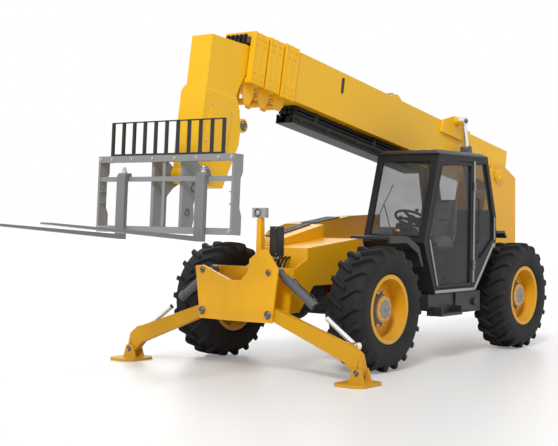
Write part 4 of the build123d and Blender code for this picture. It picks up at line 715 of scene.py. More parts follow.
# ------------------------------------------------------------------ the studio
@dataclass
class Studio:
    """The floor, the light round the machine and the camera."""

    eye: Point = (13.531, 7.793, 1.627)
    yaw: float = 37.478
    dip: float = 0.532
    roll: float = 0.704
    lens: float = 77.99
    sky: float = 0.56
    sun: float = 1.85
    floor_white: float = 0.2

    def build(self) -> None:
        """Makes all of it."""
        self.camera()
        self.world()
        self.lamps()
        self.floor()

    def camera(self) -> None:
        """Stands the camera by its distance from the rear axle."""
        bpy.ops.object.select_all(action="DESELECT")
        axle = middle_of("rear_axle").x
        yaw, dip, roll = (math.radians(a) for a in (self.yaw, self.dip, self.roll))
        ahead = Vector((-math.cos(yaw) * math.cos(dip), -math.sin(yaw) * math.cos(dip), -math.sin(dip)))
        right = ahead.cross(Vector((0, 0, 1))).normalized()
        up = right.cross(ahead)
        side = right * math.cos(roll) + up * math.sin(roll)
        top = up * math.cos(roll) - right * math.sin(roll)
        data = bpy.data.cameras.new("camera")
        data.lens, data.sensor_width, data.sensor_fit = self.lens, 36.0, "HORIZONTAL"
        obj = bpy.data.objects.new("camera", data)
        bpy.context.scene.collection.objects.link(obj)
        place = Matrix((side, top, -ahead)).transposed().to_4x4()
        place.translation = Vector(self.eye) + Vector((axle, 0, 0))
        obj.matrix_world = place
        bpy.context.scene.camera = obj

    def world(self) -> None:
        """White to the camera and in reflections, and softer as a light."""
        scene = bpy.context.scene
        scene.view_settings.view_transform = "Standard"
        scene.world = scene.world or bpy.data.worlds.new("World")
        scene.world.use_nodes = True
        sheet = Sheet(scene.world.node_tree)
        ray = sheet.node("ShaderNodeLightPath")
        seen = Value(sheet, ray.outputs["Is Camera Ray"]).at_least(
            Value(sheet, ray.outputs["Is Glossy Ray"]).at_least(
                Value(sheet, ray.outputs["Is Transmission Ray"])))
        light = sheet.node("ShaderNodeBackground", None, {
            "Color": (1.0, 1.0, 1.0), "Strength": self.sky + seen * (1 - self.sky)})
        sheet.node("ShaderNodeOutputWorld", None, {"Surface": light.outputs[0]})

    def lamps(self) -> None:
        """A soft high key from the front, and a weak fill from the far side."""
        for name, toward, power, spread in (
                ("key", (-0.70, -0.30, -0.65), self.sun, 14),
                ("fill", (0.7, 0.55, -0.45), self.sun * 0.18, 30)):
            data = bpy.data.lights.new(name, "SUN")
            data.energy, data.angle = power, math.radians(spread)
            obj = bpy.data.objects.new(name, data)
            bpy.context.scene.collection.objects.link(obj)
            obj.rotation_euler = Vector(toward).to_track_quat("-Z", "Y").to_euler()

    def floor(self) -> None:
        """A pale, faintly glossy floor that keeps the shadow."""
        ground = Piece.plate("studio_floor", Across.Z, -0.02, -0.001,
                             [(-60, -60), (60, -60), (60, 60), (-60, 60)])
        made = bpy.data.materials.new("floor_white")
        made.use_nodes = True
        sheet = Sheet(made.node_tree)
        ray = sheet.node("ShaderNodeLightPath")
        mottle = sheet.grain(2.0, 2)
        base = sheet.node("ShaderNodeBsdfPrincipled", None, {
            "Base Color": (0.92, 0.91, 0.90), "Roughness": 0.34 + mottle * 0.04})
        white = sheet.node("ShaderNodeEmission", None, {"Color": (1.0, 1.0, 1.0), "Strength": 1.0})
        mixed = sheet.node("ShaderNodeMixShader", None, {
            0: Value(sheet, ray.outputs["Is Camera Ray"]) * self.floor_white,
            1: base.outputs[0], 2: white.outputs[0]})
        sheet.node("ShaderNodeOutputMaterial", None, {"Surface": mixed.outputs[0]})
        ground.obj.data.materials.append(made)


# ------------------------------------------------------------------ the CAD's own solids
@dataclass
class Coats:
    """Which finish each of the machine's solids has."""

    edge: float = 0.004

    def build(self) -> None:
        """Paints every node."""
        sides = ("left", "right")
        ends = ("front", "rear")
        paint_node(YELLOW, "boom_outer", "boom_section_2", "boom_section_3", "boom_head", soften=self.edge)
        paint_node(DEEP_YELLOW, "stabiliser_frame", "chassis_frame", "boom_tower", "bonnet", soften=self.edge)
        paint_node(DEEP_YELLOW, "front_cowl", soften=self.edge)
        # The legs and feet take the darker yellow, which is painted shade.
        paint_node(SHADED_LEG_YELLOW, *(f"stabiliser_{p}_{s}" for p in ("leg", "foot") for s in sides), soften=self.edge)
        paint_node(CHARCOAL, "counterweight", "boom_tray", "front_axle", "rear_axle", "engine_pod", soften=self.edge)
        paint_node(CHARCOAL, *(f"knuckle_{e}_{s}" for e in ends for s in sides), soften=0.003)
        paint_node(RIM_YELLOW, *(f"rim_{e}_{s}" for e in ends for s in sides), soften=0.003)
        paint_node(TYRE, *(f"tyre_{e}_{s}" for e in ends for s in sides))
        paint_node(BARREL_GREY, "lift_barrels", *(f"stabiliser_barrel_{s}" for s in sides), soften=0.002)
        paint_node(CHROME, "lift_rods", *(f"stabiliser_rod_{s}" for s in sides))
        paint_node(FORK_GREY, "carriage", soften=0.003)
        paint_node(FORK_BLACK, "load_backrest", soften=0.003)
        paint_node(FORK_STEEL, "forks", soften=0.003)
        paint_node(PALE_GREY, "work_lamp", soften=0.003)
        paint_node(BLACK_TRIM, "valve_box", "mudguards", "step_boxes", "cab_controls", soften=0.003)
        paint_node(CHARCOAL, "cab_frame", "cab_roof", "door_frame", soften=0.003)
        paint_node(GLASS, "cab_windows", "door_glass")
        paint_node(CLOTH, "driver_seat")
        paint_node(BLACK_TRIM, "bonnet_grille", "nose_grille", soften=0.002)
        paint_node(CAST, "engine_block", soften=0.003)


# ------------------------------------------------------------------ wheels
@dataclass
class Tyre:
    """A drive tyre: a round carcass, long slanted bars in two rows, and rings on its side walls."""

    half: float = 0.2065
    bars: int = 20
    steps: int = 60
    profile: Outline = (
        (0.331, -0.1645), (0.358, -0.1655), (0.366, -0.180), (0.385, -0.192), (0.43, -0.202),
        (0.49, -0.2065), (0.545, -0.199), (0.578, -0.183), (0.597, -0.150), (0.603, -0.06),
        (0.603, 0.06), (0.597, 0.150), (0.578, 0.183), (0.545, 0.199), (0.49, 0.2065),
        (0.43, 0.202), (0.385, 0.192), (0.366, 0.180), (0.358, 0.1655), (0.331, 0.1645))
    trail: Outline = (
        (-0.013, 0.034), (0.050, -0.004), (0.105, -0.047), (0.150, -0.078), (0.178, -0.086),
        (0.193, -0.088), (0.2015, -0.086))
    widths: Sequence[float] = (0.044, 0.047, 0.052, 0.058, 0.061, 0.060, 0.050)
    tops: Sequence[float] = (0.6395, 0.6422, 0.6422, 0.640, 0.636, 0.607, 0.562)
    feet: Sequence[float] = (0.585, 0.590, 0.590, 0.575, 0.560, 0.540, 0.505)

    def bar(self) -> Piece:
        """One bar at the tyre's top, about the origin: a chain of sections, bridged."""
        rings = []
        for (y, trail), width, top, foot in zip(self.trail, self.widths, self.tops, self.feet):
            lead = trail + width
            narrow = width * 0.1
            edges = ((trail, foot), (trail + narrow, top), (lead - narrow, top), (lead, foot))
            rings.append(Piece.flat("tyre_bar", [
                Vector((x, y, math.sqrt(max(z * z - x * x, 0.0)))) for x, z in edges], filled=False))
        bar = rings[0].join(rings[1:])
        with bar.edit(Pick.EDGES):
            bpy.ops.mesh.select_all(action="SELECT")
            bpy.ops.mesh.bridge_edge_loops()
            for y in (self.trail[0][0], self.trail[-1][0]):
                bar.pick(lambda c, n, y=y: abs(c.y - y) < 1e-4)
                bpy.ops.mesh.edge_face_add()
            bpy.ops.mesh.select_all(action="SELECT")
            bpy.ops.mesh.normals_make_consistent(inside=False)
        return bar.bevel(0.005, 1, angle=40)

    def build(self) -> Piece:
        """The whole tyre about the origin, as it stands on the machine's left."""
        tyre = Piece.turned("tyre_carcass", (0, 0, 0), (0, 1, 0), self.profile, self.steps)
        bar = self.bar()
        pitch = 360 / self.bars
        rows = []
        for i in range(self.bars):
            rows.append(bar.copy("tyre_bar", turn(i * pitch, "Y")))
            rows.append(bar.copy("tyre_bar", turn((i + 0.5) * pitch, "Y") @ flip_y()))
        bpy.data.objects.remove(bar.obj)
        rings = [Piece.ring("tyre_ring", (0, s * y, 0), (0, 1, 0), r, t, self.steps, 6)
                 for s in (-1, 1) for r, y, t in ((0.392, 0.1915, 0.006), (0.515, 0.2015, 0.004))]
        return tyre.join(rows + rings).smooth(38).paint(TYRE)


@dataclass
class WheelTrim:
    """The hub's bolts, cap and valve on a rim, about the wheel's middle on the machine's left."""

    bolt_circle: float = 0.172
    bolts: int = 10

    def build(self) -> dict[str, Piece]:
        """The hub's cover with its small screws, the wheel bolts, and the valve."""
        hub = Piece.turned("hub_cover", (0, 0, 0), (0, 1, 0), [
            (0.0, 0.128), (0.072, 0.128), (0.080, 0.1255), (0.112, 0.1245), (0.118, 0.118),
            (0.1415, 0.112), (0.150, 0.060), (0.152, 0.0405), (0.148, 0.0405), (0.148, 0.05), (0.0, 0.05)], 48)
        screw = Piece.rod("hub_screw", (0.096, 0.124, 0), (0.096, 0.132, 0), 0.008, 6).bevel(0.0012, 1)
        hub.join([screw.copy("hub_screw", turn(i * 45, "Y")) for i in range(8)])
        drain = Piece.rod("hub_plug", (0, 0.126, 0), (0, 0.138, 0), 0.020, 6).bevel(0.002, 2)
        hub.join([drain])
        bpy.data.objects.remove(screw.obj)
        nut = Piece.rod("wheel_nut", (self.bolt_circle, 0.038, 0), (self.bolt_circle, 0.060, 0), 0.017, 6)
        nut.inset(lambda c, n: n.y > 0.9, 0.005, 0.0)
        nut.draw_out(lambda c, n: n.y > 0.9 and c.y > 0.059, (0, 0.010, 0), 0.8)
        nut.bevel(0.0015, 1)
        washer = Piece.rod("nut_washer", (self.bolt_circle, 0.0395, 0), (self.bolt_circle, 0.0425, 0), 0.024, 16)
        nut.join([washer])
        nuts = [nut.copy("wheel_nut", turn(i * 360 / self.bolts, "Y")) for i in range(1, self.bolts)]
        nut.join(nuts)
        valve = Piece.rod("tyre_valve", (0.285, 0.02, 0), (0.278, 0.075, 0), 0.005, 10, 0.006)
        ring = Piece.turned("rim_lock_ring", (0, 0, 0), (0, 1, 0), [
            (0.3565, 0.166), (0.3565, 0.1815), (0.352, 0.1835), (0.340, 0.1835), (0.336, 0.180),
            (0.332, 0.180), (0.332, 0.166)], 60)
        return {"hub_cover": hub.smooth(30).paint(HUB_GREY), "wheel_nuts": nut.smooth(30).paint(BOLT),
                "tyre_valve": valve.smooth().paint(SEAL), "rim_edge": ring.smooth(40).paint(RIM_YELLOW)}


@dataclass
class Wheels:
    """The four wheels."""

    ends: Sequence[str] = ("front", "rear")
    slots: tuple[tuple[str, str], ...] = (
        ("hub_cover", "cast_iron"), ("wheel_nuts", "cast_iron"), ("tyre_valve", "trim_plastic"),
        ("rim_edge", "rim_paint"))

    def build(self) -> None:
        """Models one wheel's pieces and sets a copy of each in the four places."""
        tyre, trims = Tyre().build(), WheelTrim().build()
        for end in self.ends:
            for side in ("left", "right"):
                place = f"{end}_{side}"
                to_wheel = shift(*middle_of(f"tyre_{place}"))
                if side == "right":
                    to_wheel = to_wheel @ flip_y()
                body = f"wheel_{place}"
                tyre.copy(f"drive_tyre_{place}", to_wheel).fit(body, "tyre_rubber", (f"tyre_{place}",))
                for name, slot in self.slots:
                    trims[name].copy(f"{name}_{place}", to_wheel).fit(body, slot)
        for piece in (tyre, *trims.values()):
            bpy.data.objects.remove(piece.obj)


# ------------------------------------------------------------------ places on the machine
AXLE_X = middle_of("rear_axle").x
BOOM_AXIS = Vector(next(j["axis"] for j in frame["joints"] if j["name"] == "boom_extend_second"))
BOOM_PITCH = math.degrees(math.atan2(BOOM_AXIS.z, BOOM_AXIS.x))
CARRIAGE_TILT = 2.5
DATUM = shift(AXLE_X)
BOOM = shift(*joint_place("boom_lift")) @ turn(-BOOM_PITCH, "Y")
CARRIAGE = shift(*joint_place("carriage_tilt")) @ turn(-CARRIAGE_TILT, "Y")
SIDES = (("left", 1), ("right", -1))
LIFT_EYE_U, LIFT_EYE_W = 1.234, 0.446   # along and above the boom from its pivot


@dataclass
class HexBolt:
    """A hexagon bolt on its washer."""

    radius: float = 0.011
    height: float = 0.010

    def at(self, name: str, points: Sequence[Point], facing: Point) -> Piece:
        """The same bolt at several points, all facing one way, as one piece."""
        out = Vector(facing).normalized()
        first = Vector(points[0])
        head = Piece.rod(name, first + out * 0.002, first + out * (self.height + 0.002), self.radius, 6)
        head.bevel(self.radius * 0.12, 1)
        head.join([Piece.rod(name, first - out * 0.001, first + out * 0.0022, self.radius * 1.35, 16)])
        head.join([head.copy(name, shift(*(Vector(p) - first))) for p in points[1:]])
        return head.smooth(30).paint(BOLT)


def pin_cap(name: str, centre: Point, facing: Point, radius: float, thickness: float = 0.012) -> Piece:
    """A pin's end: a dished, chamfered cap with two bolts."""
    out = Vector(facing).normalized()
    side = out.orthogonal().normalized()
    middle = Vector(centre)
    cap = Piece.turned(name, middle, out, [
        (0.0, thickness * 0.7), (radius * 0.3, thickness * 0.7), (radius * 0.42, thickness),
        (radius * 0.9, thickness), (radius, thickness * 0.6), (radius, -0.002), (0.0, -0.002)], 32)
    cap.smooth(30).paint(CAST)
    bolts = HexBolt(radius * 0.16, radius * 0.12).at(name, [
        middle + out * thickness + side * radius * s for s in (-0.66, 0.66)], out)
    return cap.join([bolts])


# ------------------------------------------------------------------ boom
@dataclass
class BoomTrim:
    """What is bolted to the boom: pad screws, black plates of painted shade in the sight holes, pins, hose clips and
    pipes.
    """

    collars: tuple[tuple[str, float, float, float, float], ...] = (
        ("boom", 4.600, 0.215, -0.155, 0.405),
        ("boom_second", 4.850, 0.205, -0.145, 0.395),
        ("boom_third", 5.100, 0.197, -0.137, 0.387))
    collar_length: float = 0.225
    sight: tuple[float, float, float, float] = (3.730, 0.185, 0.305, 0.033)
    pivot_face: float = 0.257

    def build(self) -> None:
        """Makes every piece."""
        for body, start, half, low, high in self.collars:
            self.collar(body, start, half, low, high)
        self.sight_shade_plates()
        self.pins()
        self.sheaves()
        self.tray_pipes()
        self.end_plate()
        self.head_hoses()

    def head_hoses(self) -> None:
        """The row of hoses that loops over the innermost section ahead of the last collar."""
        hoses = [Piece.pipe("head_hoses", [(5.350, y, 0.235), (5.349, y, 0.305), (5.360, y, 0.340), (5.385, y, 0.336),
                                            (5.400, y, 0.295), (5.402, y, 0.225)], 0.016, 4)
                 for y in (-0.11, -0.055, 0.0, 0.055, 0.11)]
        hoses[0].join(hoses[1:]).smooth(50).paint(SEAL).move(BOOM).fit("boom_fly", "trim_plastic")

    def collar(self, body: str, start: float, half: float, low: float, high: float) -> None:
        """A collar's ribs and its rows of pad screws."""
        end = start + self.collar_length
        screws = []
        for _, s in SIDES:
            points = [(start + u, s * half, low + (high - low) * f) for u in (0.060, 0.165)
                      for f in (0.10, 0.22, 0.78, 0.90)]
            screws.append(HexBolt(0.012, 0.009).at(f"pad_screws_{body}", points, (0, s, 0)))
        tops = [(start + u, y, high) for u in (0.060, 0.165) for y in (-0.12, -0.04, 0.04, 0.12)]
        screws.append(HexBolt(0.012, 0.009).at(f"pad_screws_{body}", tops, (0, 0, 1)))
        screws[0].join(screws[1:]).paint(YELLOW).move(BOOM).fit(body, "yellow_paint")
        ribs = []
        for u in (start + 0.006, start + 0.1125, end - 0.018):
            rib = Piece.plate(f"collar_ribs_{body}", Across.X, u, u + 0.012, [
                (-half - 0.006, low - 0.006), (half + 0.006, low - 0.006), (half + 0.006, high + 0.006),
                (-half - 0.006, high + 0.006)])
            rib.cut(Piece.block("rib_inside", (u - 0.01, -half + 0.002, low + 0.002),
                                (u + 0.03, half - 0.002, high - 0.002)))
            ribs.append(rib)
        ribs[0].join(ribs[1:]).bevel(0.0025, 2).smooth().paint(YELLOW).move(BOOM).fit(body, "yellow_paint")

    def sight_shade_plates(self) -> None:
        """Black plates in the long holes of the boom's sides: painted shade, standing in for the dark inside of the
        holes.
        """
        u, low, high, radius = self.sight
        for name, s in SIDES:
            outline = [(u + radius * math.cos(a), (high if a < math.pi else low) + radius * math.sin(a))
                       for a in (math.pi * i / 8 for i in (*range(9), *range(8, 17)))]
            # A black plate where the hole's inside is only in shade: painted shade.
            cover = Piece.plate(f"sight_shade_plate_{name}", Across.Y, s * 0.1870, s * 0.1905, outline)
            cover.inset(lambda c, n, s=s: n.y * s > 0.9, 0.006, -0.002)
            cover.paint(BLACK_TRIM).move(BOOM).fit("boom", "trim_plastic")

    def pins(self) -> None:
        """The caps of the boom's pivot and of the lift cylinders' pins."""
        for name, s in SIDES:
            pivot = pin_cap(f"boom_pivot_cap_{name}", (0, s * self.pivot_face, 0), (0, s, 0), 0.070, 0.014)
            pivot.paint(YELLOW).move(BOOM).fit("machine", "cast_iron")
            lift = pin_cap(f"lift_pin_cap_{name}", (LIFT_EYE_U, s * 0.3725, LIFT_EYE_W), (0, s, 0), 0.031, 0.010)
            lift.move(BOOM).fit("boom", "cast_iron")
            base = pin_cap(f"lift_base_cap_{name}", (-0.400, s * 0.4005, 1.150), (0, s, 0), 0.044, 0.012)
            base.move(DATUM).fit("machine", "cast_iron")
            guide = Piece.rod(f"guide_roller_{name}", (2.630, s * 0.04, 0.428), (2.630, s * 0.15, 0.428), 0.026, 24)
            guide.bevel(0.004, 2).smooth().paint(CAST).move(BOOM).fit("boom", "cast_iron")

    def sheaves(self) -> None:
        """The hose sheaves in the mouth of the third section."""
        wheels = []
        for y in (-0.09, -0.03, 0.03, 0.09):
            wheels.append(Piece.turned("hose_sheaves", (5.345, y, 0.286), (0, 1, 0), [
                (0.012, -0.018), (0.036, -0.018), (0.038, -0.014), (0.027, -0.008), (0.025, 0.0),
                (0.027, 0.008), (0.038, 0.014), (0.036, 0.018), (0.012, 0.018)], 28))
        wheels.append(Piece.rod("hose_sheaves", (5.345, -0.1415, 0.286), (5.345, 0.1415, 0.286), 0.0125, 16))
        for _, s in SIDES:
            wheels.append(Piece.plate("hose_sheaves", Across.Y, s * 0.1280, s * 0.1400, [
                (5.325 - 0.06, 0.312), (5.325 - 0.06, 0.329), (5.37, 0.329), (5.372, 0.262), (5.325, 0.262)]))
        wheels[0].join(wheels[1:]).bevel(0.0015, 1).smooth().paint(CAST).move(BOOM).fit("boom_third", "cast_iron")

    def tray_pipes(self) -> None:
        """Steel pipes and their clips along the tray's side."""
        for name, s in SIDES:
            pipes = [Piece.pipe(f"tray_pipes_{name}", [
                (1.90, s * 0.118, w), (2.2, s * 0.118, w), (3.0, s * 0.118, w), (3.9, s * 0.118, w),
                (4.40, s * 0.118, w)], 0.0055, 3) for w in (-0.275, -0.292)]
            for u in (2.0, 2.6, 3.2, 3.8, 4.3):
                clip = Piece.block(f"tray_pipes_{name}", (u, s * 0.1125, -0.302), (u + 0.03, s * 0.1255, -0.265))
                pipes.append(clip.bevel(0.002, 1))
            pipes[0].join(pipes[1:]).smooth(40).paint(BLACK_TRIM).move(BOOM).fit("boom", "dark_paint")

    def end_plate(self) -> None:
        """The cover on the boom's rear end with its bolts."""
        plate = Piece.plate("boom_end_cover", Across.X, -0.277, -0.2695, [
            (-0.15, -0.09), (0.15, -0.09), (0.15, 0.30), (0.10, 0.34), (-0.10, 0.34), (-0.15, 0.30)])
        plate.inset(lambda c, n: n.x < -0.9, 0.03, -0.003).bevel(0.002, 1).smooth().paint(CHARCOAL)
        plate.join([HexBolt(0.010, 0.008).at("boom_end_cover", [
            (-0.277, y, w) for y in (-0.135, 0.135) for w in (-0.07, 0.10, 0.27)], (-1, 0, 0))])
        plate.move(BOOM).fit("boom", "dark_paint")


# ------------------------------------------------------------------ head and carriage
@dataclass
class CarriageTrim:
    """Pins, keepers and bolts of the head, the carriage and the forks."""

    ear_face: float = 0.2165
    front: float = 0.370
    spread: float = 1.010

    def build(self) -> None:
        """Makes every piece."""
        for name, s in SIDES:
            cap = pin_cap(f"tilt_pin_cap_{name}", (0, s * self.ear_face, 0), (0, s, 0), 0.052, 0.014)
            cap.move(CARRIAGE).fit("fork_carriage", "cast_iron")
            boss = pin_cap(f"head_boss_cap_{name}", (5.300, s * 0.1605, -0.580), (0, s, 0), 0.050, 0.010)
            boss.move(BOOM).fit("boom_fly", "cast_iron")
            self.ear_holes(name, s)
            self.fork_lock(name, s)
        self.bar_bolts()
        self.head_bolts()

    def ear_holes(self, name: str, s: int) -> None:
        """Bushes in an ear's outer face."""
        bushes = [Piece.turned(f"ear_bushes_{name}", (x, s * 0.2025, z), (0, s, 0), [
            (r * 0.55, -0.001), (r * 0.55, 0.003), (r * 0.7, 0.006), (r, 0.006), (r * 1.08, -0.001)], 28)
            for x, z, r in ((0.155, -0.13, 0.045), (0.235, -0.37, 0.034))]
        bushes[0].join(bushes[1:]).smooth().paint(CAST).move(CARRIAGE).fit("fork_carriage", "cast_iron")

    def fork_lock(self, name: str, s: int) -> None:
        """The spring pin on top of a fork's hook."""
        y = s * self.spread / 2
        pin = Piece.turned(f"fork_lock_{name}", (0.372, y, -0.007), (0, 0, 1), [
            (0.0, 0.062), (0.012, 0.062), (0.016, 0.056), (0.016, 0.044), (0.009, 0.040), (0.009, 0.022),
            (0.024, 0.020), (0.026, 0.001), (0.0, 0.001)], 24)
        handle = Piece.rod(f"fork_lock_{name}", (0.372, y - 0.035, 0.025), (0.372, y + 0.035, 0.025), 0.005, 12)
        pin.join([handle.bevel(0.001, 1)]).smooth().paint(BOLT).move(CARRIAGE).fit("fork_carriage", "cast_iron")

    def bar_bolts(self) -> None:
        """Bolts along the backrest's foot, and its end brackets."""
        points = [(self.front, y, 0.131) for y in (-0.68, -0.41, -0.14, 0.14, 0.41, 0.68)]
        bolts = HexBolt(0.014, 0.011).at("carriage_bolts", points, (1, 0, 0))
        ends = [(self.front, s * 0.835, z) for _, s in SIDES for z in (0.131, -0.544)]
        bolts.join([HexBolt(0.016, 0.012).at("carriage_bolts", ends, (1, 0, 0))])
        bolts.move(CARRIAGE).fit("fork_carriage", "cast_iron")
        steps = []
        for _, s in SIDES:
            for z in (-0.30, -0.19):
                step = Piece.plate("carriage_gussets", Across.Z, z, z + 0.012, [
                    (0.285, s * 0.840), (0.365, s * 0.840), (0.365, s * 0.815), (0.300, s * 0.822)])
                steps.append(step.bevel(0.002, 1))
        steps[0].join(steps[1:]).smooth().paint(FORK_GREY).move(CARRIAGE).fit("fork_carriage", "grey_paint")

    def head_bolts(self) -> None:
        """The cover plates on the head's sides, left bare."""
        for name, s in SIDES:
            plate = Piece.plate(f"head_cover_{name}", Across.Y, s * 0.1600, s * 0.1655, [
                (5.50, -0.48), (5.80, -0.48), (5.84, -0.56), (5.84, -0.86), (5.74, -0.98), (5.50, -0.90)])
            plate.inset(lambda c, n, s=s: n.y * s > 0.9, 0.022, 0.003).bevel(0.0015, 2).smooth().paint(YELLOW)
            plate.join([HexBolt(0.009, 0.007).at(f"head_cover_{name}", [
                (u, s * 0.1655, w) for u, w in ((5.512, -0.492), (5.795, -0.492), (5.828, -0.85), (5.515, -0.885))],
                (0, s, 0))])
            plate.move(BOOM).fit("boom_fly", "yellow_paint")


# ------------------------------------------------------------------ stabilisers and cylinders
@dataclass
class StabiliserTrim:
    """Pins, pipes, gland nuts and the lamp at the front."""

    front: float = 4.096
    cylinder_x: float = 3.912
    pivot: tuple[float, float] = (0.430, 0.600)
    base: tuple[float, float] = (0.430, 1.020)
    eye: tuple[float, float] = (1.365, 0.350)
    foot: tuple[float, float] = (1.483, 0.120)

    def build(self) -> None:
        """Makes every piece."""
        for name, s in SIDES:
            pins = [pin_cap(f"frame_pins_{name}", (self.front, s * y, z), (1, 0, 0), r, 0.010)
                    for (y, z), r in ((self.pivot, 0.043), (self.base, 0.031))]
            pins[0].join(pins[1:]).move(DATUM).fit("machine", "cast_iron")
            foot = pin_cap(f"foot_pin_{name}", (4.084, s * self.foot[0], self.foot[1]), (1, 0, 0), 0.030, 0.008)
            foot.move(DATUM).fit(f"foot_{name}", "cast_iron")
            self.cylinder(name, s)
        self.lamp()
        self.valve_box()
        self.lift_cylinders()

    def cylinder(self, name: str, s: int) -> None:
        """A stabiliser cylinder's gland nut, port blocks and steel pipe."""
        start = Vector((self.cylinder_x, s * self.base[0], self.base[1]))
        line = (Vector((self.cylinder_x, s * self.eye[0], self.eye[1])) - start).normalized()
        up = line.cross(Vector((1, 0, 0))).normalized()
        up = up if up.z > 0 else -up
        mouth = start + line * 0.545
        gland = Piece.turned(f"leg_gland_{name}", mouth, line, [
            (0.0275, -0.004), (0.0485, -0.004), (0.0485, 0.0), (0.044, 0.007), (0.030, 0.007), (0.0275, 0.004)], 36)
        bands = [Piece.ring(f"leg_gland_{name}", start + line * d, line, 0.0465, 0.003, 36, 6) for d in (0.16, 0.46)]
        ports = [Piece.rod(f"leg_gland_{name}", start + line * d + up * 0.040, start + line * d + up * 0.064, 0.013, 6)
                 for d in (0.19, 0.505)]
        gland.join(bands + ports).bevel(0.001, 1).smooth().paint(BARREL_GREY)
        gland.move(DATUM).fit(f"leg_barrel_{name}", "dark_paint")
        route = [start + line * d + up * r for d, r in (
            (0.505, 0.060), (0.495, 0.070), (0.47, 0.071), (0.40, 0.060), (0.32, 0.058), (0.25, 0.060),
            (0.21, 0.072), (0.195, 0.066))]
        pipe = Piece.pipe(f"leg_pipe_{name}", route, 0.006, 3)
        pipe.smooth(60).paint(BLACK_TRIM).move(DATUM).fit(f"leg_barrel_{name}", "dark_paint")
        seal = Piece.turned(f"leg_wiper_{name}", mouth, line, [
            (0.0265, 0.006), (0.034, 0.006), (0.032, 0.012), (0.0265, 0.013)], 32)
        seal.smooth().paint(SEAL).move(DATUM).fit(f"leg_barrel_{name}", "trim_plastic")

    def lamp(self) -> None:
        """The work lamp's bezel, lens and fins."""
        low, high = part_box("work_lamp")
        y, z = (low.y + high.y) / 2, high.z - 0.050
        bezel = Piece.turned("lamp_bezel", (high.x, y, z), (1, 0, 0), [
            (0.030, -0.004), (0.040, -0.004), (0.041, 0.004), (0.036, 0.008), (0.031, 0.005)], 40)
        bezel.smooth().paint(BLACK_TRIM).fit("machine", "trim_plastic")
        lens = Piece.turned("lamp_lens", (high.x, y, z), (1, 0, 0), [
            (0.0, 0.0065), (0.014, 0.006), (0.025, 0.0035), (0.0305, 0.0), (0.0305, -0.004), (0.0, -0.004)], 40)
        lens.smooth().paint(CLEAR_LENS).fit("machine", "trim_plastic")
        fins = [Piece.plate("lamp_fins", Across.Y, y + d, y + d + 0.004, [
            (low.x - 0.009, z - 0.035), (low.x + 0.001, z - 0.04), (low.x + 0.001, z + 0.04),
            (low.x - 0.009, z + 0.035)])
            for d in (-0.045, -0.030, -0.015, 0.0, 0.015, 0.030, 0.041)]
        fins[0].join(fins[1:]).bevel(0.0008, 1).smooth().paint(PALE_GREY).fit("machine", "grey_paint")

    def valve_box(self) -> None:
        """The valve box's lid with its screws, and cable glands."""
        low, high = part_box("valve_box")
        y = (low.y + high.y) / 2
        lid = Piece.plate("valve_lid", Across.X, high.x - 0.001, high.x + 0.007, [
            (low.y + 0.008, 1.195), (high.y - 0.008, 1.195), (high.y - 0.008, 1.468), (low.y + 0.008, 1.468)])
        lid.inset(lambda c, n: n.x > 0.9, 0.010, -0.002).bevel(0.0015, 2).smooth().paint(BLACK_TRIM)
        lid.join([HexBolt(0.005, 0.004).at("valve_lid", [
            (high.x + 0.007, a, b) for a in (low.y + 0.014, high.y - 0.014) for b in (1.201, 1.462)], (1, 0, 0))])
        lid.fit("machine", "trim_plastic")
        glands = [Piece.rod("valve_glands", (high.x - 0.035, y + d, 1.176), (high.x - 0.035, y + d, 1.150), 0.011, 6)
                  for d in (-0.028, 0.0, 0.028)]
        glands[0].join(glands[1:]).bevel(0.001, 1).smooth().paint(BOLT).fit("machine", "cast_iron")

    def lift_cylinders(self) -> None:
        """The lift cylinders' gland nuts, bands and pipes."""
        base = joint_place("lift_barrel_swing")
        eye = BOOM @ Vector((LIFT_EYE_U, 0, LIFT_EYE_W))
        for name, s in SIDES:
            start = Vector((base.x, s * 0.330, base.z))
            line = (Vector((eye.x, s * 0.330, eye.z)) - start).normalized()
            back = line.cross(Vector((0, 1, 0))).normalized()
            back = back if back.x < 0 else -back
            mouth = start + line * 1.360
            gland = Piece.turned(f"lift_gland_{name}", mouth, line, [
                (0.040, -0.004), (0.0735, -0.004), (0.0735, 0.004), (0.066, 0.014), (0.044, 0.014), (0.040, 0.006)], 44)
            bands = [Piece.ring(f"lift_gland_{name}", start + line * d, line, 0.0685, 0.004, 44, 6)
                     for d in (0.24, 0.72, 1.28)]
            gland.join(bands).smooth().paint(BARREL_GREY).fit("lift_barrel_pair", "dark_paint")
            route = [start + line * d + back * r for d, r in (
                (1.26, 0.070), (1.24, 0.086), (1.18, 0.088), (0.9, 0.080), (0.6, 0.080), (0.34, 0.086),
                (0.28, 0.088), (0.25, 0.072))]
            pipe = Piece.pipe(f"lift_pipe_{name}", route, 0.009, 4)
            pipe.smooth(60).paint(BLACK_TRIM).fit("lift_barrel_pair", "dark_paint")


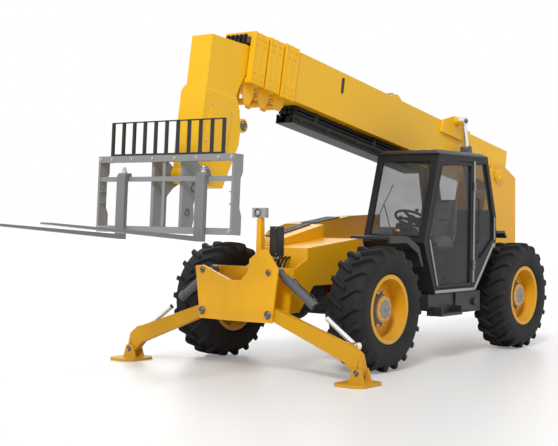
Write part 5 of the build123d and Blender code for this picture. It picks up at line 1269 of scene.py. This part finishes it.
# ------------------------------------------------------------------ cab
@dataclass
class Seat:
    """The driver's suspension seat: padded squab and back, shell, bellows and arm rests."""

    x: float = 1.180
    y: float = 0.700
    top: float = 1.365
    half: float = 0.238
    voxel: float = 0.009
    swell: float = 0.012

    def build(self) -> None:
        """Makes every piece."""
        squab = self.pad("seat_squab", (self.x + 0.095, self.x + 0.540), self.half,
                         ((0.0, 0.115, 0.030), (0.5, 0.100, 0.012), (1.0, 0.075, 0.030)), self.squab_place())
        squab.fit("machine", "seat_cover", ("driver_seat",))
        back = self.pad("seat_back", (0.0, 0.495), self.half - 0.012,
                        ((0.0, 0.110, 0.020), (0.5, 0.105, 0.030), (1.0, 0.070, 0.010)), self.back_place())
        back.fit("machine", "seat_cover")
        self.shell()
        self.bellows()
        self.arm_rests()
        self.belt()

    def squab_place(self) -> Matrix:
        """The squab lies on its base and falls a little to the rear."""
        return DATUM @ shift(0, self.y, self.top - 0.118) @ turn(-3, "Y", (self.x + 0.3, 0, 0))

    def back_place(self) -> Matrix:
        """The back stands on the squab's rear edge and leans rearwards."""
        return DATUM @ shift(self.x + 0.118, self.y, self.top - 0.060) @ turn(-98, "Y")

    def pad(self, name: str, span: tuple[float, float], half: float,
            heights: Sequence[tuple[float, float, float]], place: Matrix) -> Piece:
        """A sewn pad, drawn lying along X with its cover upwards, filled out as cloth.

        Args:
            name: the piece's name.
            span: its two ends along X.
            half: half its width.
            heights: (share of the length, thickness, dip of the middle channel).
            place: where it goes.

        Returns:
            The padded piece.
        """
        start, end = span
        pad = Piece.block(name, (start, -half, 0.0), (end, half, 0.1))
        with pad.edit(Pick.FACES):
            bpy.ops.mesh.select_all(action="SELECT")
            bpy.ops.mesh.subdivide(number_cuts=15)
        mesh = pad.obj.data
        for vert in mesh.vertices:
            t = (vert.co.x - start) / (end - start)
            thick, dip = (self.between(heights, t, i) for i in (1, 2))
            across = abs(vert.co.y) / half
            crown = thick - dip * max(0.0, 1 - (across / 0.62) ** 2) + (0.022 if 0.66 < across < 0.95 else 0.0)
            edge = max(0.0, (across - 0.80) / 0.20), max(0.0, (abs(t - 0.5) - 0.42) / 0.08)
            crown *= 1 - 0.45 * max(edge) ** 2
            level = vert.co.z / 0.1
            pull = 1 - 0.05 * max(edge) * abs(2 * level - 1)
            vert.co = (vert.co.x, vert.co.y * pull, level * crown)
        pad.modify("REMESH", mode="VOXEL", voxel_size=self.voxel)
        pad.modify("SMOOTH", factor=0.6, iterations=4)
        self.fill_out(pad)
        self.channels(pad, span, half)
        pad.smooth(60).paint(CLOTH).move(place)
        return pad

    @staticmethod
    def between(table: Sequence[tuple[float, float, float]], t: float, column: int) -> float:
        """A column of the table at t, on straight lines between its rows."""
        for first, second in zip(table, table[1:]):
            if t <= second[0] or second is table[-1]:
                f = (t - first[0]) / (second[0] - first[0])
                return first[column] + (second[column] - first[column]) * min(1.0, max(0.0, f))
        return table[0][column]

    def fill_out(self, pad: Piece) -> None:
        """Blows the cover out against its filling, by no more than the swell."""
        before = [vert.co.copy() for vert in pad.obj.data.vertices]
        cloth = pad.obj.modifiers.new("Cloth", "CLOTH")
        cloth.settings.use_pressure = True
        cloth.settings.uniform_pressure_force = 4
        cloth.settings.effector_weights.gravity = 0
        scene = bpy.context.scene
        for number in range(1, 17):
            scene.frame_set(number)
        bpy.ops.object.select_all(action="DESELECT")
        pad.obj.select_set(True)
        bpy.context.view_layer.objects.active = pad.obj
        bpy.ops.object.modifier_apply(modifier=cloth.name)
        scene.frame_set(1)
        for vert, old in zip(pad.obj.data.vertices, before):
            step = vert.co - old
            if step.length > self.swell:
                vert.co = old + step.normalized() * self.swell

    @staticmethod
    def channels(pad: Piece, span: tuple[float, float], half: float) -> None:
        """Presses the sewn channels into the cover."""
        start, end = span
        for vert in pad.obj.data.vertices:
            if vert.co.z < 0.03:
                continue
            t = (vert.co.x - start) / (end - start)
            depth = 0.0
            if abs(vert.co.y) < half * 0.62:
                depth = max(math.exp(-((t - c) * (end - start) / 0.006) ** 2) for c in (0.25, 0.42, 0.58, 0.75))
            seam = math.exp(-((abs(vert.co.y) - half * 0.63) / 0.006) ** 2)
            vert.co.z -= 0.007 * max(depth, seam if 0.08 < t < 0.92 else 0.0)

    def shell(self) -> None:
        """The moulded shell behind the back, and the tray under the squab."""
        shell = Piece.plate("seat_shell", Across.Y, -self.half + 0.02, self.half - 0.02, [
            (0.02, -0.012), (0.475, -0.008), (0.495, 0.012), (0.455, 0.030), (0.04, 0.030)])
        shell.bevel(0.010, 3).smooth(50).paint(TRIM).move(self.back_place()).fit("machine", "trim_plastic")
        tray = Piece.plate("seat_tray", Across.Y, -self.half + 0.03, self.half - 0.03, [
            (self.x + 0.11, -0.035), (self.x + 0.50, -0.020), (self.x + 0.53, 0.012), (self.x + 0.10, 0.010)])
        tray.bevel(0.008, 3).smooth(50).paint(TRIM).move(self.squab_place()).fit("machine", "trim_plastic")

    def bellows(self) -> None:
        """The rubber bellows round the suspension."""
        x, y, low, high = self.x + 0.29, self.y, 0.785, self.top - 0.165
        folds, rings = 6, []
        for i in range(2 * folds + 1):
            z = low + (high - low) * i / (2 * folds)
            spread = 0.0 if i % 2 else 0.018
            a, b = 0.165 + spread, 0.165 + spread
            rings.append(Piece.flat("seat_bellows", [
                Vector((x + sx * (a - cx), y + sy * (b - cy), z)) for sx, sy, cx, cy in (
                    (1, 1, 0, 0.04), (1, 1, 0.04, 0), (-1, 1, 0.04, 0), (-1, 1, 0, 0.04),
                    (-1, -1, 0, 0.04), (-1, -1, 0.04, 0), (1, -1, 0.04, 0), (1, -1, 0, 0.04))], filled=False))
        skirt = rings[0].join(rings[1:])
        with skirt.edit(Pick.EDGES):
            bpy.ops.mesh.select_all(action="SELECT")
            bpy.ops.mesh.bridge_edge_loops()
            for z in (low, high):
                skirt.pick(lambda c, n, z=z: abs(c.z - z) < 1e-4)
                bpy.ops.mesh.edge_face_add()
            bpy.ops.mesh.select_all(action="SELECT")
            bpy.ops.mesh.normals_make_consistent(inside=False)
        skirt.bevel(0.003, 2, angle=25).smooth(40).paint(SEAL).move(DATUM).fit("machine", "trim_plastic")

    def arm_rests(self) -> None:
        """Two arm rests on their brackets."""
        for name, s in SIDES:
            y = self.y + s * (self.half - 0.012)
            rest = Piece.block(f"arm_rest_{name}", (self.x + 0.10, y - 0.026, self.top + 0.175),
                               (self.x + 0.40, y + 0.026, self.top + 0.215))
            rest.bevel(0.014, 4).smooth(50).paint(BLACK_TRIM)
            arm = Piece.plate(f"arm_rest_{name}", Across.Y, y - s * 0.006 - 0.006, y - s * 0.006 + 0.006, [
                (self.x + 0.06, self.top + 0.02), (self.x + 0.10, self.top + 0.02), (self.x + 0.17, self.top + 0.178),
                (self.x + 0.10, self.top + 0.178)])
            rest.join([arm.bevel(0.002, 1).paint(TRIM)]).move(DATUM).fit("machine", "trim_plastic")

    def belt(self) -> None:
        """The lap belt's buckle."""
        y, z = self.y + self.half - 0.03, self.top + 0.012
        buckle = Piece.block("belt_buckle", (self.x + 0.13, y - 0.03, z - 0.02), (self.x + 0.165, y - 0.005, z + 0.06))
        buckle.bevel(0.006, 3).smooth(50).paint(RED_TRIM).move(DATUM).fit("machine", "trim_plastic")


@dataclass
class CabTrim:
    """What is fitted to the cab: seals, pale strips of painted highlight round the door way, handle, hinges, wiper,
    dials, levers and pedals.
    """

    side: float = 1.120
    post: float = 1.180
    sill: float = 0.800
    front_low: float = 2.010
    foot: tuple[float, float] = (2.260, 1.310)
    head: tuple[float, float] = (1.960, 2.280)
    floor: float = 0.782
    wheel: tuple[float, float, float] = (1.830, 0.700, 1.570)

    def build(self) -> None:
        """Makes every piece."""
        Seat().build()
        self.door_edge_highlights()
        self.handle()
        self.hinges()
        self.seals()
        self.wiper()
        self.dash()
        self.levers()
        self.pedals()
        self.roof()
        self.rail()

    def strip(self, name: str, points: Outline, width: float, thickness: float, y: float, finish: Finish) -> Piece:
        """A flat strip that follows a bent line on the cab's side."""
        left, right = [], []
        for i, (a, b) in enumerate(points):
            before = Vector(points[max(i - 1, 0)])
            after = Vector(points[min(i + 1, len(points) - 1)])
            across = (after - before).normalized().orthogonal() * width / 2
            left.append((a + across.x, b + across.y))
            right.append((a - across.x, b - across.y))
        strip = Piece.plate(name, Across.Y, y, y + thickness, left + right[::-1])
        return strip.bevel(thickness * 0.35, 2).smooth(40).paint(finish)

    def door_edge_highlights(self) -> None:
        """Pale grey strips round the door way, on the rear post, the sill and the front edge, as painted highlights
        along these edges.
        """
        strips = (
            ("post_highlight_strip", [(self.post - 0.034, 0.845), (self.post - 0.034, 2.235)], 0.030),
            ("sill_highlight_strip", [(self.post - 0.045, 0.770), (self.front_low + 0.000, 0.770)], 0.030),
            ("corner_highlight_strip", [(1.118, 0.765), (0.655, 1.285)], 0.036),
            ("quarter_highlight_strip", [(0.640, 1.330), (0.640, 1.590)], 0.020))
        for name, points, width in strips:
            # Pale grey strips along the edges: painted highlights.
            piece = self.strip(name, points, width, 0.006, self.side - 0.0005, PALE_GREY)
            piece.move(DATUM).fit("machine", "grey_paint")
        # The door's front edge gets the same painted highlight strip.
        edge = self.strip("door_front_highlight_strip", [(self.front_low - 0.05, 0.835), (2.135, 1.335)],
                          0.022, 0.006, self.side - 0.0005, PALE_GREY)
        edge.move(DATUM).fit("door", "grey_paint")

    def handle(self) -> None:
        """The door's handle in its cup, and the lock."""
        cup = Piece.block("door_handle", (1.995, self.side - 0.0005, 1.272), (2.085, self.side + 0.008, 1.318))
        cup.inset(lambda c, n: n.y > 0.9, 0.007, -0.005).bevel(0.002, 2)
        grip = Piece.pipe("door_handle", [
            (2.00, self.side + 0.002, 1.297), (2.01, self.side + 0.024, 1.297), (2.03, self.side + 0.030, 1.297),
            (2.055, self.side + 0.030, 1.297), (2.07, self.side + 0.024, 1.297),
            (2.08, self.side + 0.002, 1.297)], 0.006, 4)
        lock = Piece.rod("door_handle", (2.040, self.side, 1.281), (2.040, self.side + 0.011, 1.281), 0.006, 16)
        cup.join([grip, lock]).smooth(50).paint(BLACK_TRIM).move(DATUM).fit("door", "trim_plastic")

    def hinges(self) -> None:
        """Knuckles over the door's two hinges."""
        for name, z in (("low", 1.045), ("high", 1.945)):
            leaves = []
            for a, b in ((z - 0.05, z - 0.02), (z - 0.018, z + 0.018), (z + 0.020, z + 0.05)):
                leaves.append(Piece.rod(f"door_hinge_{name}", (self.post - 0.010, self.side + 0.008, a),
                                        (self.post - 0.010, self.side + 0.008, b), 0.009, 20).bevel(0.0015, 1))
            leaf = Piece.block(f"door_hinge_{name}", (self.post - 0.075, self.side - 0.0005, z - 0.045),
                               (self.post - 0.012, self.side + 0.005, z + 0.045)).bevel(0.0015, 1)
            leaf.join(leaves).smooth(40).paint(CAST)
            leaf.join([HexBolt(0.006, 0.004).at("hinge_bolt", [
                (self.post - 0.058, self.side + 0.005, z + d) for d in (-0.025, 0.025)], (0, 1, 0))])
            leaf.move(DATUM).fit("machine", "cast_iron")

    def seals(self) -> None:
        """Rubber seals round the windscreen and the rear window."""
        rake = Vector((self.foot[0] - self.head[0], 0, self.foot[1] - self.head[1])).normalized()
        across = 0.070
        low = Vector((self.foot[0], 0, self.foot[1])) - rake * across
        high = Vector((self.head[0], 0, self.head[1])) + rake * across
        y0, y1 = 0.3303 + across, self.side - across
        self.frame_of("screen_seal", [(low, y0), (low, y1), (high, y1), (high, y0)], rake, SEAL)
        rear_low, rear_high = Vector((0.600, 0, 1.600)), Vector((0.830, 0, 2.280))
        rise = (rear_high - rear_low).normalized()
        low, high = rear_low + rise * across, rear_high - rise * across
        self.frame_of("rear_seal", [(low, y0), (low, y1), (high, y1), (high, y0)], rise, SEAL)

    @staticmethod
    def frame_of(name: str, corners: Sequence[tuple[Vector, float]], line: Vector, finish: Finish) -> None:
        """A rubber bead that runs round a window's four corners."""
        places = [Vector((p.x, y, p.z)) for p, y in corners]
        middle = sum(places, Vector()) / 4
        route = []
        for i, corner in enumerate(places):
            before, after = places[i - 1], places[(i + 1) % 4]
            corner = corner + (middle - corner).normalized() * 0.006
            route += [corner + (before - corner).normalized() * 0.04, corner,
                      corner + (after - corner).normalized() * 0.04]
        bead = Piece.pipe(name, route + [route[0]], 0.008, 3)
        bead.smooth(60).paint(finish).move(DATUM).fit("machine", "trim_plastic")

    def wiper(self) -> None:
        """The windscreen's wiper: spindle, arm and blade."""
        foot, head = Vector((self.foot[0], 0, self.foot[1])), Vector((self.head[0], 0, self.head[1]))
        rise = (head - foot).normalized()
        out = Vector((-rise.z, 0, rise.x))
        out = out if out.x > 0 else -out

        def on(up: float, y: float, off: float) -> Vector:
            """A point on the windscreen, so far up it and off it."""
            return foot + rise * up + out * off + Vector((0, y, 0))

        spindle = Piece.rod("wiper", on(0.045, 0.72, -0.004), on(0.045, 0.72, 0.020), 0.016, 20, 0.012).bevel(0.002, 2)
        arm = Piece.pipe("wiper", [on(0.045, 0.72, 0.016), on(0.10, 0.70, 0.020), on(0.30, 0.60, 0.018),
                                   on(0.44, 0.525, 0.010)], 0.005, 3)
        blade = Piece.pipe("wiper", [on(0.20, 0.47, 0.004), on(0.35, 0.50, 0.007), on(0.50, 0.55, 0.007),
                                     on(0.66, 0.60, 0.004)], 0.004, 3)
        spindle.join([arm, blade]).smooth(50).paint(BLACK_TRIM).move(DATUM).fit("machine", "trim_plastic")

    def dash(self) -> None:
        """The instrument cluster with its dials, and the steering wheel's boss."""
        panel = Piece.plate("dash_cluster", Across.Y, 0.60, 0.80, [
            (1.9305, 1.405), (1.9305, 1.398), (2.005, 1.468), (2.005, 1.500), (1.985, 1.520), (1.962, 1.512)])
        panel.bevel(0.005, 3).smooth(50).paint(BLACK_TRIM)
        facing = Vector((-0.86, 0, 0.51)).normalized()
        for y, r in ((0.655, 0.030), (0.700, 0.014), (0.745, 0.030)):
            centre = Vector((1.948, y, 1.468))
            dial = Piece.turned("dash_cluster", centre, facing, [
                (0.0, 0.010), (r * 0.86, 0.010), (r * 0.9, 0.014), (r, 0.014), (r * 1.05, 0.0), (0.0, 0.0)], 28)
            needle = Piece.block("dash_cluster", centre + facing * 0.0105 - Vector((0.001, 0.001, 0)),
                                 centre + facing * 0.0115 + Vector((0.001, 0.001, r * 0.7)))
            panel.join([dial.smooth(40).paint(TRIM), needle.paint(CLEAR_LENS)])
        panel.move(DATUM).fit("machine", "trim_plastic")
        cap = Piece.turned("steering_cap", self.wheel, (-0.47, 0, 0.88), [
            (0.0, 0.034), (0.030, 0.032), (0.044, 0.024), (0.047, 0.014), (0.047, -0.012), (0.0, -0.012)], 36)
        cap.smooth(40).paint(BLACK_TRIM).move(DATUM).fit("machine", "trim_plastic")
        knob = Piece.turned("steering_knob", (1.905, 0.80, 1.625), (-0.47, 0, 0.88), [
            (0.0, 0.060), (0.016, 0.056), (0.021, 0.044), (0.014, 0.026), (0.010, 0.0), (0.0, 0.0)], 24)
        knob.smooth(50).paint(BLACK_TRIM).move(DATUM).fit("machine", "trim_plastic")

    def levers(self) -> None:
        """The joystick on the side console with its boot, and the switches in front of it."""
        x, y, z = 1.62, 0.408, 1.385
        boot = Piece.turned("joystick", (x, y, z), (0, 0, 1), [
            (0.0, 0.060), (0.012, 0.060), (0.013, 0.048), (0.020, 0.044), (0.017, 0.036), (0.026, 0.030),
            (0.022, 0.022), (0.031, 0.014), (0.029, 0.002), (0.0, 0.002)], 28)
        stick = Piece.pipe("joystick", [(x, y, z + 0.05), (x, y, z + 0.11), (x - 0.01, y + 0.006, z + 0.16)], 0.006, 3)
        grip = Piece.turned("joystick", (x - 0.01, y + 0.006, z + 0.135), (-0.12, 0.05, 1), [
            (0.0, 0.085), (0.014, 0.082), (0.021, 0.070), (0.020, 0.050), (0.016, 0.030), (0.018, 0.010),
            (0.015, 0.0), (0.0, 0.0)], 28)
        boot.join([stick, grip]).smooth(50).paint(BLACK_TRIM).move(DATUM).fit("machine", "trim_plastic")
        keys = []
        for i in range(6):
            key = Piece.block("console_switches", (1.70 + i * 0.030, 0.385, 1.377), (1.722 + i * 0.030, 0.400, 1.3895))
            key.bevel(0.003, 2)
            keys.append(key)
        keys[0].join(keys[1:]).smooth(50).paint(TRIM).move(DATUM).fit("machine", "trim_plastic")

    def pedals(self) -> None:
        """The brake and drive pedals on the floor."""
        for name, y, width in (("brake", 0.60, 0.045), ("drive", 0.80, 0.035)):
            pad = Piece.block(f"{name}_pedal", (1.848, y - width, self.floor + 0.105),
                              (1.858, y + width, self.floor + 0.185))
            for i in range(4):
                z = self.floor + 0.118 + i * 0.018
                pad.inset(lambda c, n: n.x < -0.9, 0.0, 0.0)
                pad.join([Piece.block(f"{name}_pedal", (1.844, y - width + 0.006, z),
                                      (1.849, y + width - 0.006, z + 0.008)).bevel(0.001, 1)])
            arm = Piece.pipe(f"{name}_pedal", [(1.856, y, self.floor + 0.145), (1.90, y, self.floor + 0.15),
                                               (1.925, y, self.floor + 0.08), (1.925, y, self.floor + 0.002)], 0.009, 3)
            pad.join([arm]).bevel(0.001, 1).smooth(40).paint(BLACK_TRIM).move(DATUM).fit("machine", "trim_plastic")

    def roof(self) -> None:
        """The roof's ribs and the gutter along its edge."""
        low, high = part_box("cab_roof")
        ribs = []
        for i in range(4):
            y = low.y + 0.14 + i * 0.16
            rib = Piece.block("roof_ribs", (low.x + 0.16, y, high.z - 0.0005),
                              (high.x - 0.16, y + 0.06, high.z + 0.009))
            ribs.append(rib.bevel(0.006, 2))
        ribs[0].join(ribs[1:]).smooth(50).paint(CHARCOAL).fit("machine", "dark_paint")
        edge = Piece.pipe("roof_gutter", [
            (low.x + 0.02, high.y + 0.002, low.z + 0.006), (low.x + 0.2, high.y + 0.002, low.z + 0.006),
            (high.x - 0.2, high.y + 0.002, low.z + 0.006), (high.x - 0.02, high.y + 0.002, low.z + 0.006)], 0.006, 3)
        edge.smooth(60).paint(BLACK_TRIM).fit("machine", "dark_paint")

    def rail(self) -> None:
        """The grab rail behind the door way."""
        y = self.side + 0.030
        bar = Piece.pipe("grab_rail", [
            (1.085, self.side, 1.30), (1.085, y, 1.305), (1.085, y, 1.35), (1.085, y, 1.55), (1.085, y, 1.75),
            (1.085, y, 1.795), (1.085, self.side, 1.80)], 0.010, 4)
        feet = [Piece.rod("grab_rail", (1.085, self.side - 0.0005, z), (1.085, self.side + 0.006, z), 0.020, 20)
                .bevel(0.002, 1) for z in (1.30, 1.80)]
        bar.join(feet).smooth(50).paint(BLACK_TRIM).move(DATUM).fit("machine", "trim_plastic")

# ------------------------------------------------------------------ engine, frame and guards
@dataclass
class EngineTrim:
    """The bonnet's latches and filler, the exhaust and the pipes on the nose."""

    outer: float = -1.100

    def build(self) -> None:
        """Makes every piece."""
        self.latches()
        self.filler()
        self.exhaust()
        self.nose_hoses()

    def latches(self) -> None:
        """Two draw latches on the bonnet's outer wall."""
        low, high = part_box("bonnet")
        parts = []
        for f in (0.22, 0.78):
            x = low.x + (high.x - low.x) * f
            body = Piece.block("bonnet_latches", (x - 0.02, low.y - 0.008, low.z + 0.03),
                               (x + 0.02, low.y + 0.002, low.z + 0.12))
            body.inset(lambda c, n: n.y < -0.9, 0.006, -0.003).bevel(0.002, 2)
            parts.append(body)
        parts[0].join(parts[1:]).smooth(40).paint(BLACK_TRIM).fit("bonnet_lid", "trim_plastic")

    def filler(self) -> None:
        """The fuel filler on the tank beside the step."""
        low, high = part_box("step_boxes")
        centre = (low.x + 0.16, high.y - 0.098, high.z - 0.12)
        cap = Piece.turned("tank_filler", centre, (0, 1, 0), [
            (0.0, 0.030), (0.034, 0.030), (0.040, 0.024), (0.040, 0.008), (0.046, 0.006), (0.046, -0.002),
            (0.0, -0.002)], 36)
        grips = [Piece.block("tank_filler", Vector(centre) + Vector((0.036, 0.010, -0.004)),
                             Vector(centre) + Vector((0.044, 0.028, 0.004))).bevel(0.001, 1)]
        grips += [grips[0].copy("tank_filler", turn(i * 45, "Y", centre)) for i in range(1, 8)]
        cap.join(grips).smooth(40).paint(BLACK_TRIM).fit("machine", "trim_plastic")

    def exhaust(self) -> None:
        """The exhaust's tail pipe behind the bonnet, with its bands."""
        low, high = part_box("engine_pod")
        x, y = low.x + 0.06, low.y + 0.10
        pipe = Piece.pipe("exhaust_pipe", [(x - 0.04, y, high.z - 0.15), (x - 0.10, y, high.z - 0.15),
                                           (x - 0.20, y, high.z - 0.13), (x - 0.20, y, high.z - 0.02),
                                           (x - 0.20, y, high.z + 0.07)], 0.038, 5)
        bands = [Piece.ring("exhaust_pipe", (x - 0.20, y, high.z + z), (0, 0, 1), 0.0385, 0.004, 32, 6)
                 for z in (-0.04, 0.055)]
        pipe.join(bands).smooth(50).paint(CAST).fit("machine", "cast_iron")

    def nose_hoses(self) -> None:
        """The hydraulic hoses clipped along the nose to the stabiliser frame."""
        z, pipes = 1.02, []
        for i, y in enumerate((-0.10, -0.05, 0.0, 0.05, 0.10)):
            x0, x1 = 3.30, 3.815
            pipes.append(Piece.pipe("nose_pipes", [
                (x0, y, z + 0.13), (x0 + 0.06, y, z + 0.12), (x0 + 0.12, y, z - 0.02), (x0 + 0.22, y * 1.3, z - 0.06),
                (x1 - 0.10, y * 1.6, z - 0.02 + i * 0.004), (x1, y * 1.6, z - 0.02)], 0.011, 3))
        pipes[0].join(pipes[1:]).smooth(60).paint(SEAL).move(DATUM).fit("machine", "trim_plastic")


@dataclass
class FrameTrim:
    """The tail lamps' lenses, the blank plate, the guards' lenses, the tower's bolts and the drive shafts."""

    lamp_z: tuple[float, float] = (0.860, 0.945)
    rear: float = -1.690
    half: float = 0.560

    def build(self) -> None:
        """Makes every piece."""
        self.tail()
        self.guard_lamps()
        self.tower_bolts()
        self.drive_shafts()
        self.step_treads()

    def tail(self) -> None:
        """The tail lamps' lenses, and a bare plate with its two screws."""
        low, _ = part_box("counterweight")
        for name, s in SIDES:
            for finish, y0, y1 in ((RED_LENS, 0.395, 0.455), (AMBER_LENS, 0.458, 0.500)):
                near, far = (s * y0, s * y1) if s > 0 else (s * y1, s * y0)
                lens = Piece.block(f"tail_lens_{finish.name}_{name}",
                                   (low.x - 0.016, near, self.lamp_z[0] + 0.006),
                                   (low.x + 0.002, far, self.lamp_z[1] - 0.006))
                lens.bevel(0.005, 3).smooth(50).paint(finish).fit("machine", "trim_plastic")
        plate = Piece.block("bare_plate", (low.x - 0.005, -0.16, 0.98), (low.x - 0.0005, 0.16, 1.06))
        plate.inset(lambda c, n: n.x < -0.9, 0.004, -0.001).bevel(0.001, 1).paint(PALE_GREY)
        screws = [(low.x - 0.004, y, 1.02) for y in (-0.145, 0.145)]
        plate.join([HexBolt(0.005, 0.003).at("bare_plate", screws, (-1, 0, 0))])
        plate.fit("machine", "grey_paint")

    def guard_lamps(self) -> None:
        """The amber marker lens above the left front mudguard."""
        top = DATUM @ Vector((2.660, 1.040, 1.439))
        cap = Piece.turned("marker_lens", top, (0, 0, 1), [
            (0.0, 0.022), (0.012, 0.020), (0.021, 0.010), (0.0235, 0.0), (0.0235, -0.03), (0.0, -0.03)], 32)
        cap.smooth(60).paint(AMBER_LENS).fit("machine", "trim_plastic")

    def tower_bolts(self) -> None:
        """Bolts round the tower's pivot plates."""
        parts = []
        for _, s in SIDES:
            face = 0.237 + 0.0005
            points = [(-1.140 + 0.105 * math.cos(a), s * face, 2.150 + 0.105 * math.sin(a))
                      for a in (2 * math.pi * (i + 0.5) / 8 for i in range(8))]
            parts.append(HexBolt(0.011, 0.010).at("tower_bolts", points, (0, s, 0)))
        parts[0].join(parts[1:]).move(DATUM).fit("machine", "cast_iron")

    def drive_shafts(self) -> None:
        """The drive shafts from the middle of the frame to both axles, with their yokes and covers."""
        for name, x0, x1 in (("rear", 0.19, 1.10), ("front", 2.87, 1.96)):
            sign = 1 if x1 > x0 else -1
            shaft = Piece.rod(f"drive_shaft_{name}", (x0, 0, 0.645), (x1, 0, 0.665), 0.036, 28)
            ends = [Piece.turned(f"drive_shaft_{name}", (x, 0, z), (1, 0, 0), [
                (0.0, -0.03), (0.055, -0.03), (0.060, -0.02), (0.060, 0.02), (0.055, 0.03), (0.0, 0.03)], 28)
                for x, z in ((x0 + sign * 0.04, 0.646), (x1 - sign * 0.04, 0.664))]
            shaft.join(ends).bevel(0.002, 1).smooth(40).paint(CHARCOAL).move(DATUM).fit("machine", "dark_paint")

    def step_treads(self) -> None:
        """Raised grips on the step below the door."""
        low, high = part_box("step_boxes")
        teeth = []
        for i in range(7):
            x = low.x + 0.36 + i * 0.055
            for y in (0.03, 0.065, 0.10):
                teeth.append(Piece.turned("step_grips", (x, high.y - y, 0.530), (0, 0, 1), [
                    (0.0, 0.002), (0.006, 0.002), (0.007, 0.005), (0.009, 0.005), (0.011, -0.001), (0.0, -0.001)], 12))
        teeth[0].join(teeth[1:]).smooth(40).paint(CHARCOAL).fit("machine", "dark_paint")


def main() -> None:
    """Builds the scene, one class after another."""
    logging.basicConfig(level=logging.INFO, format="%(message)s")
    Studio().build()
    Coats().build()
    Wheels().build()
    BoomTrim().build()
    CarriageTrim().build()
    StabiliserTrim().build()
    CabTrim().build()
    EngineTrim().build()
    FrameTrim().build()


if __name__ == "__main__":
    main()
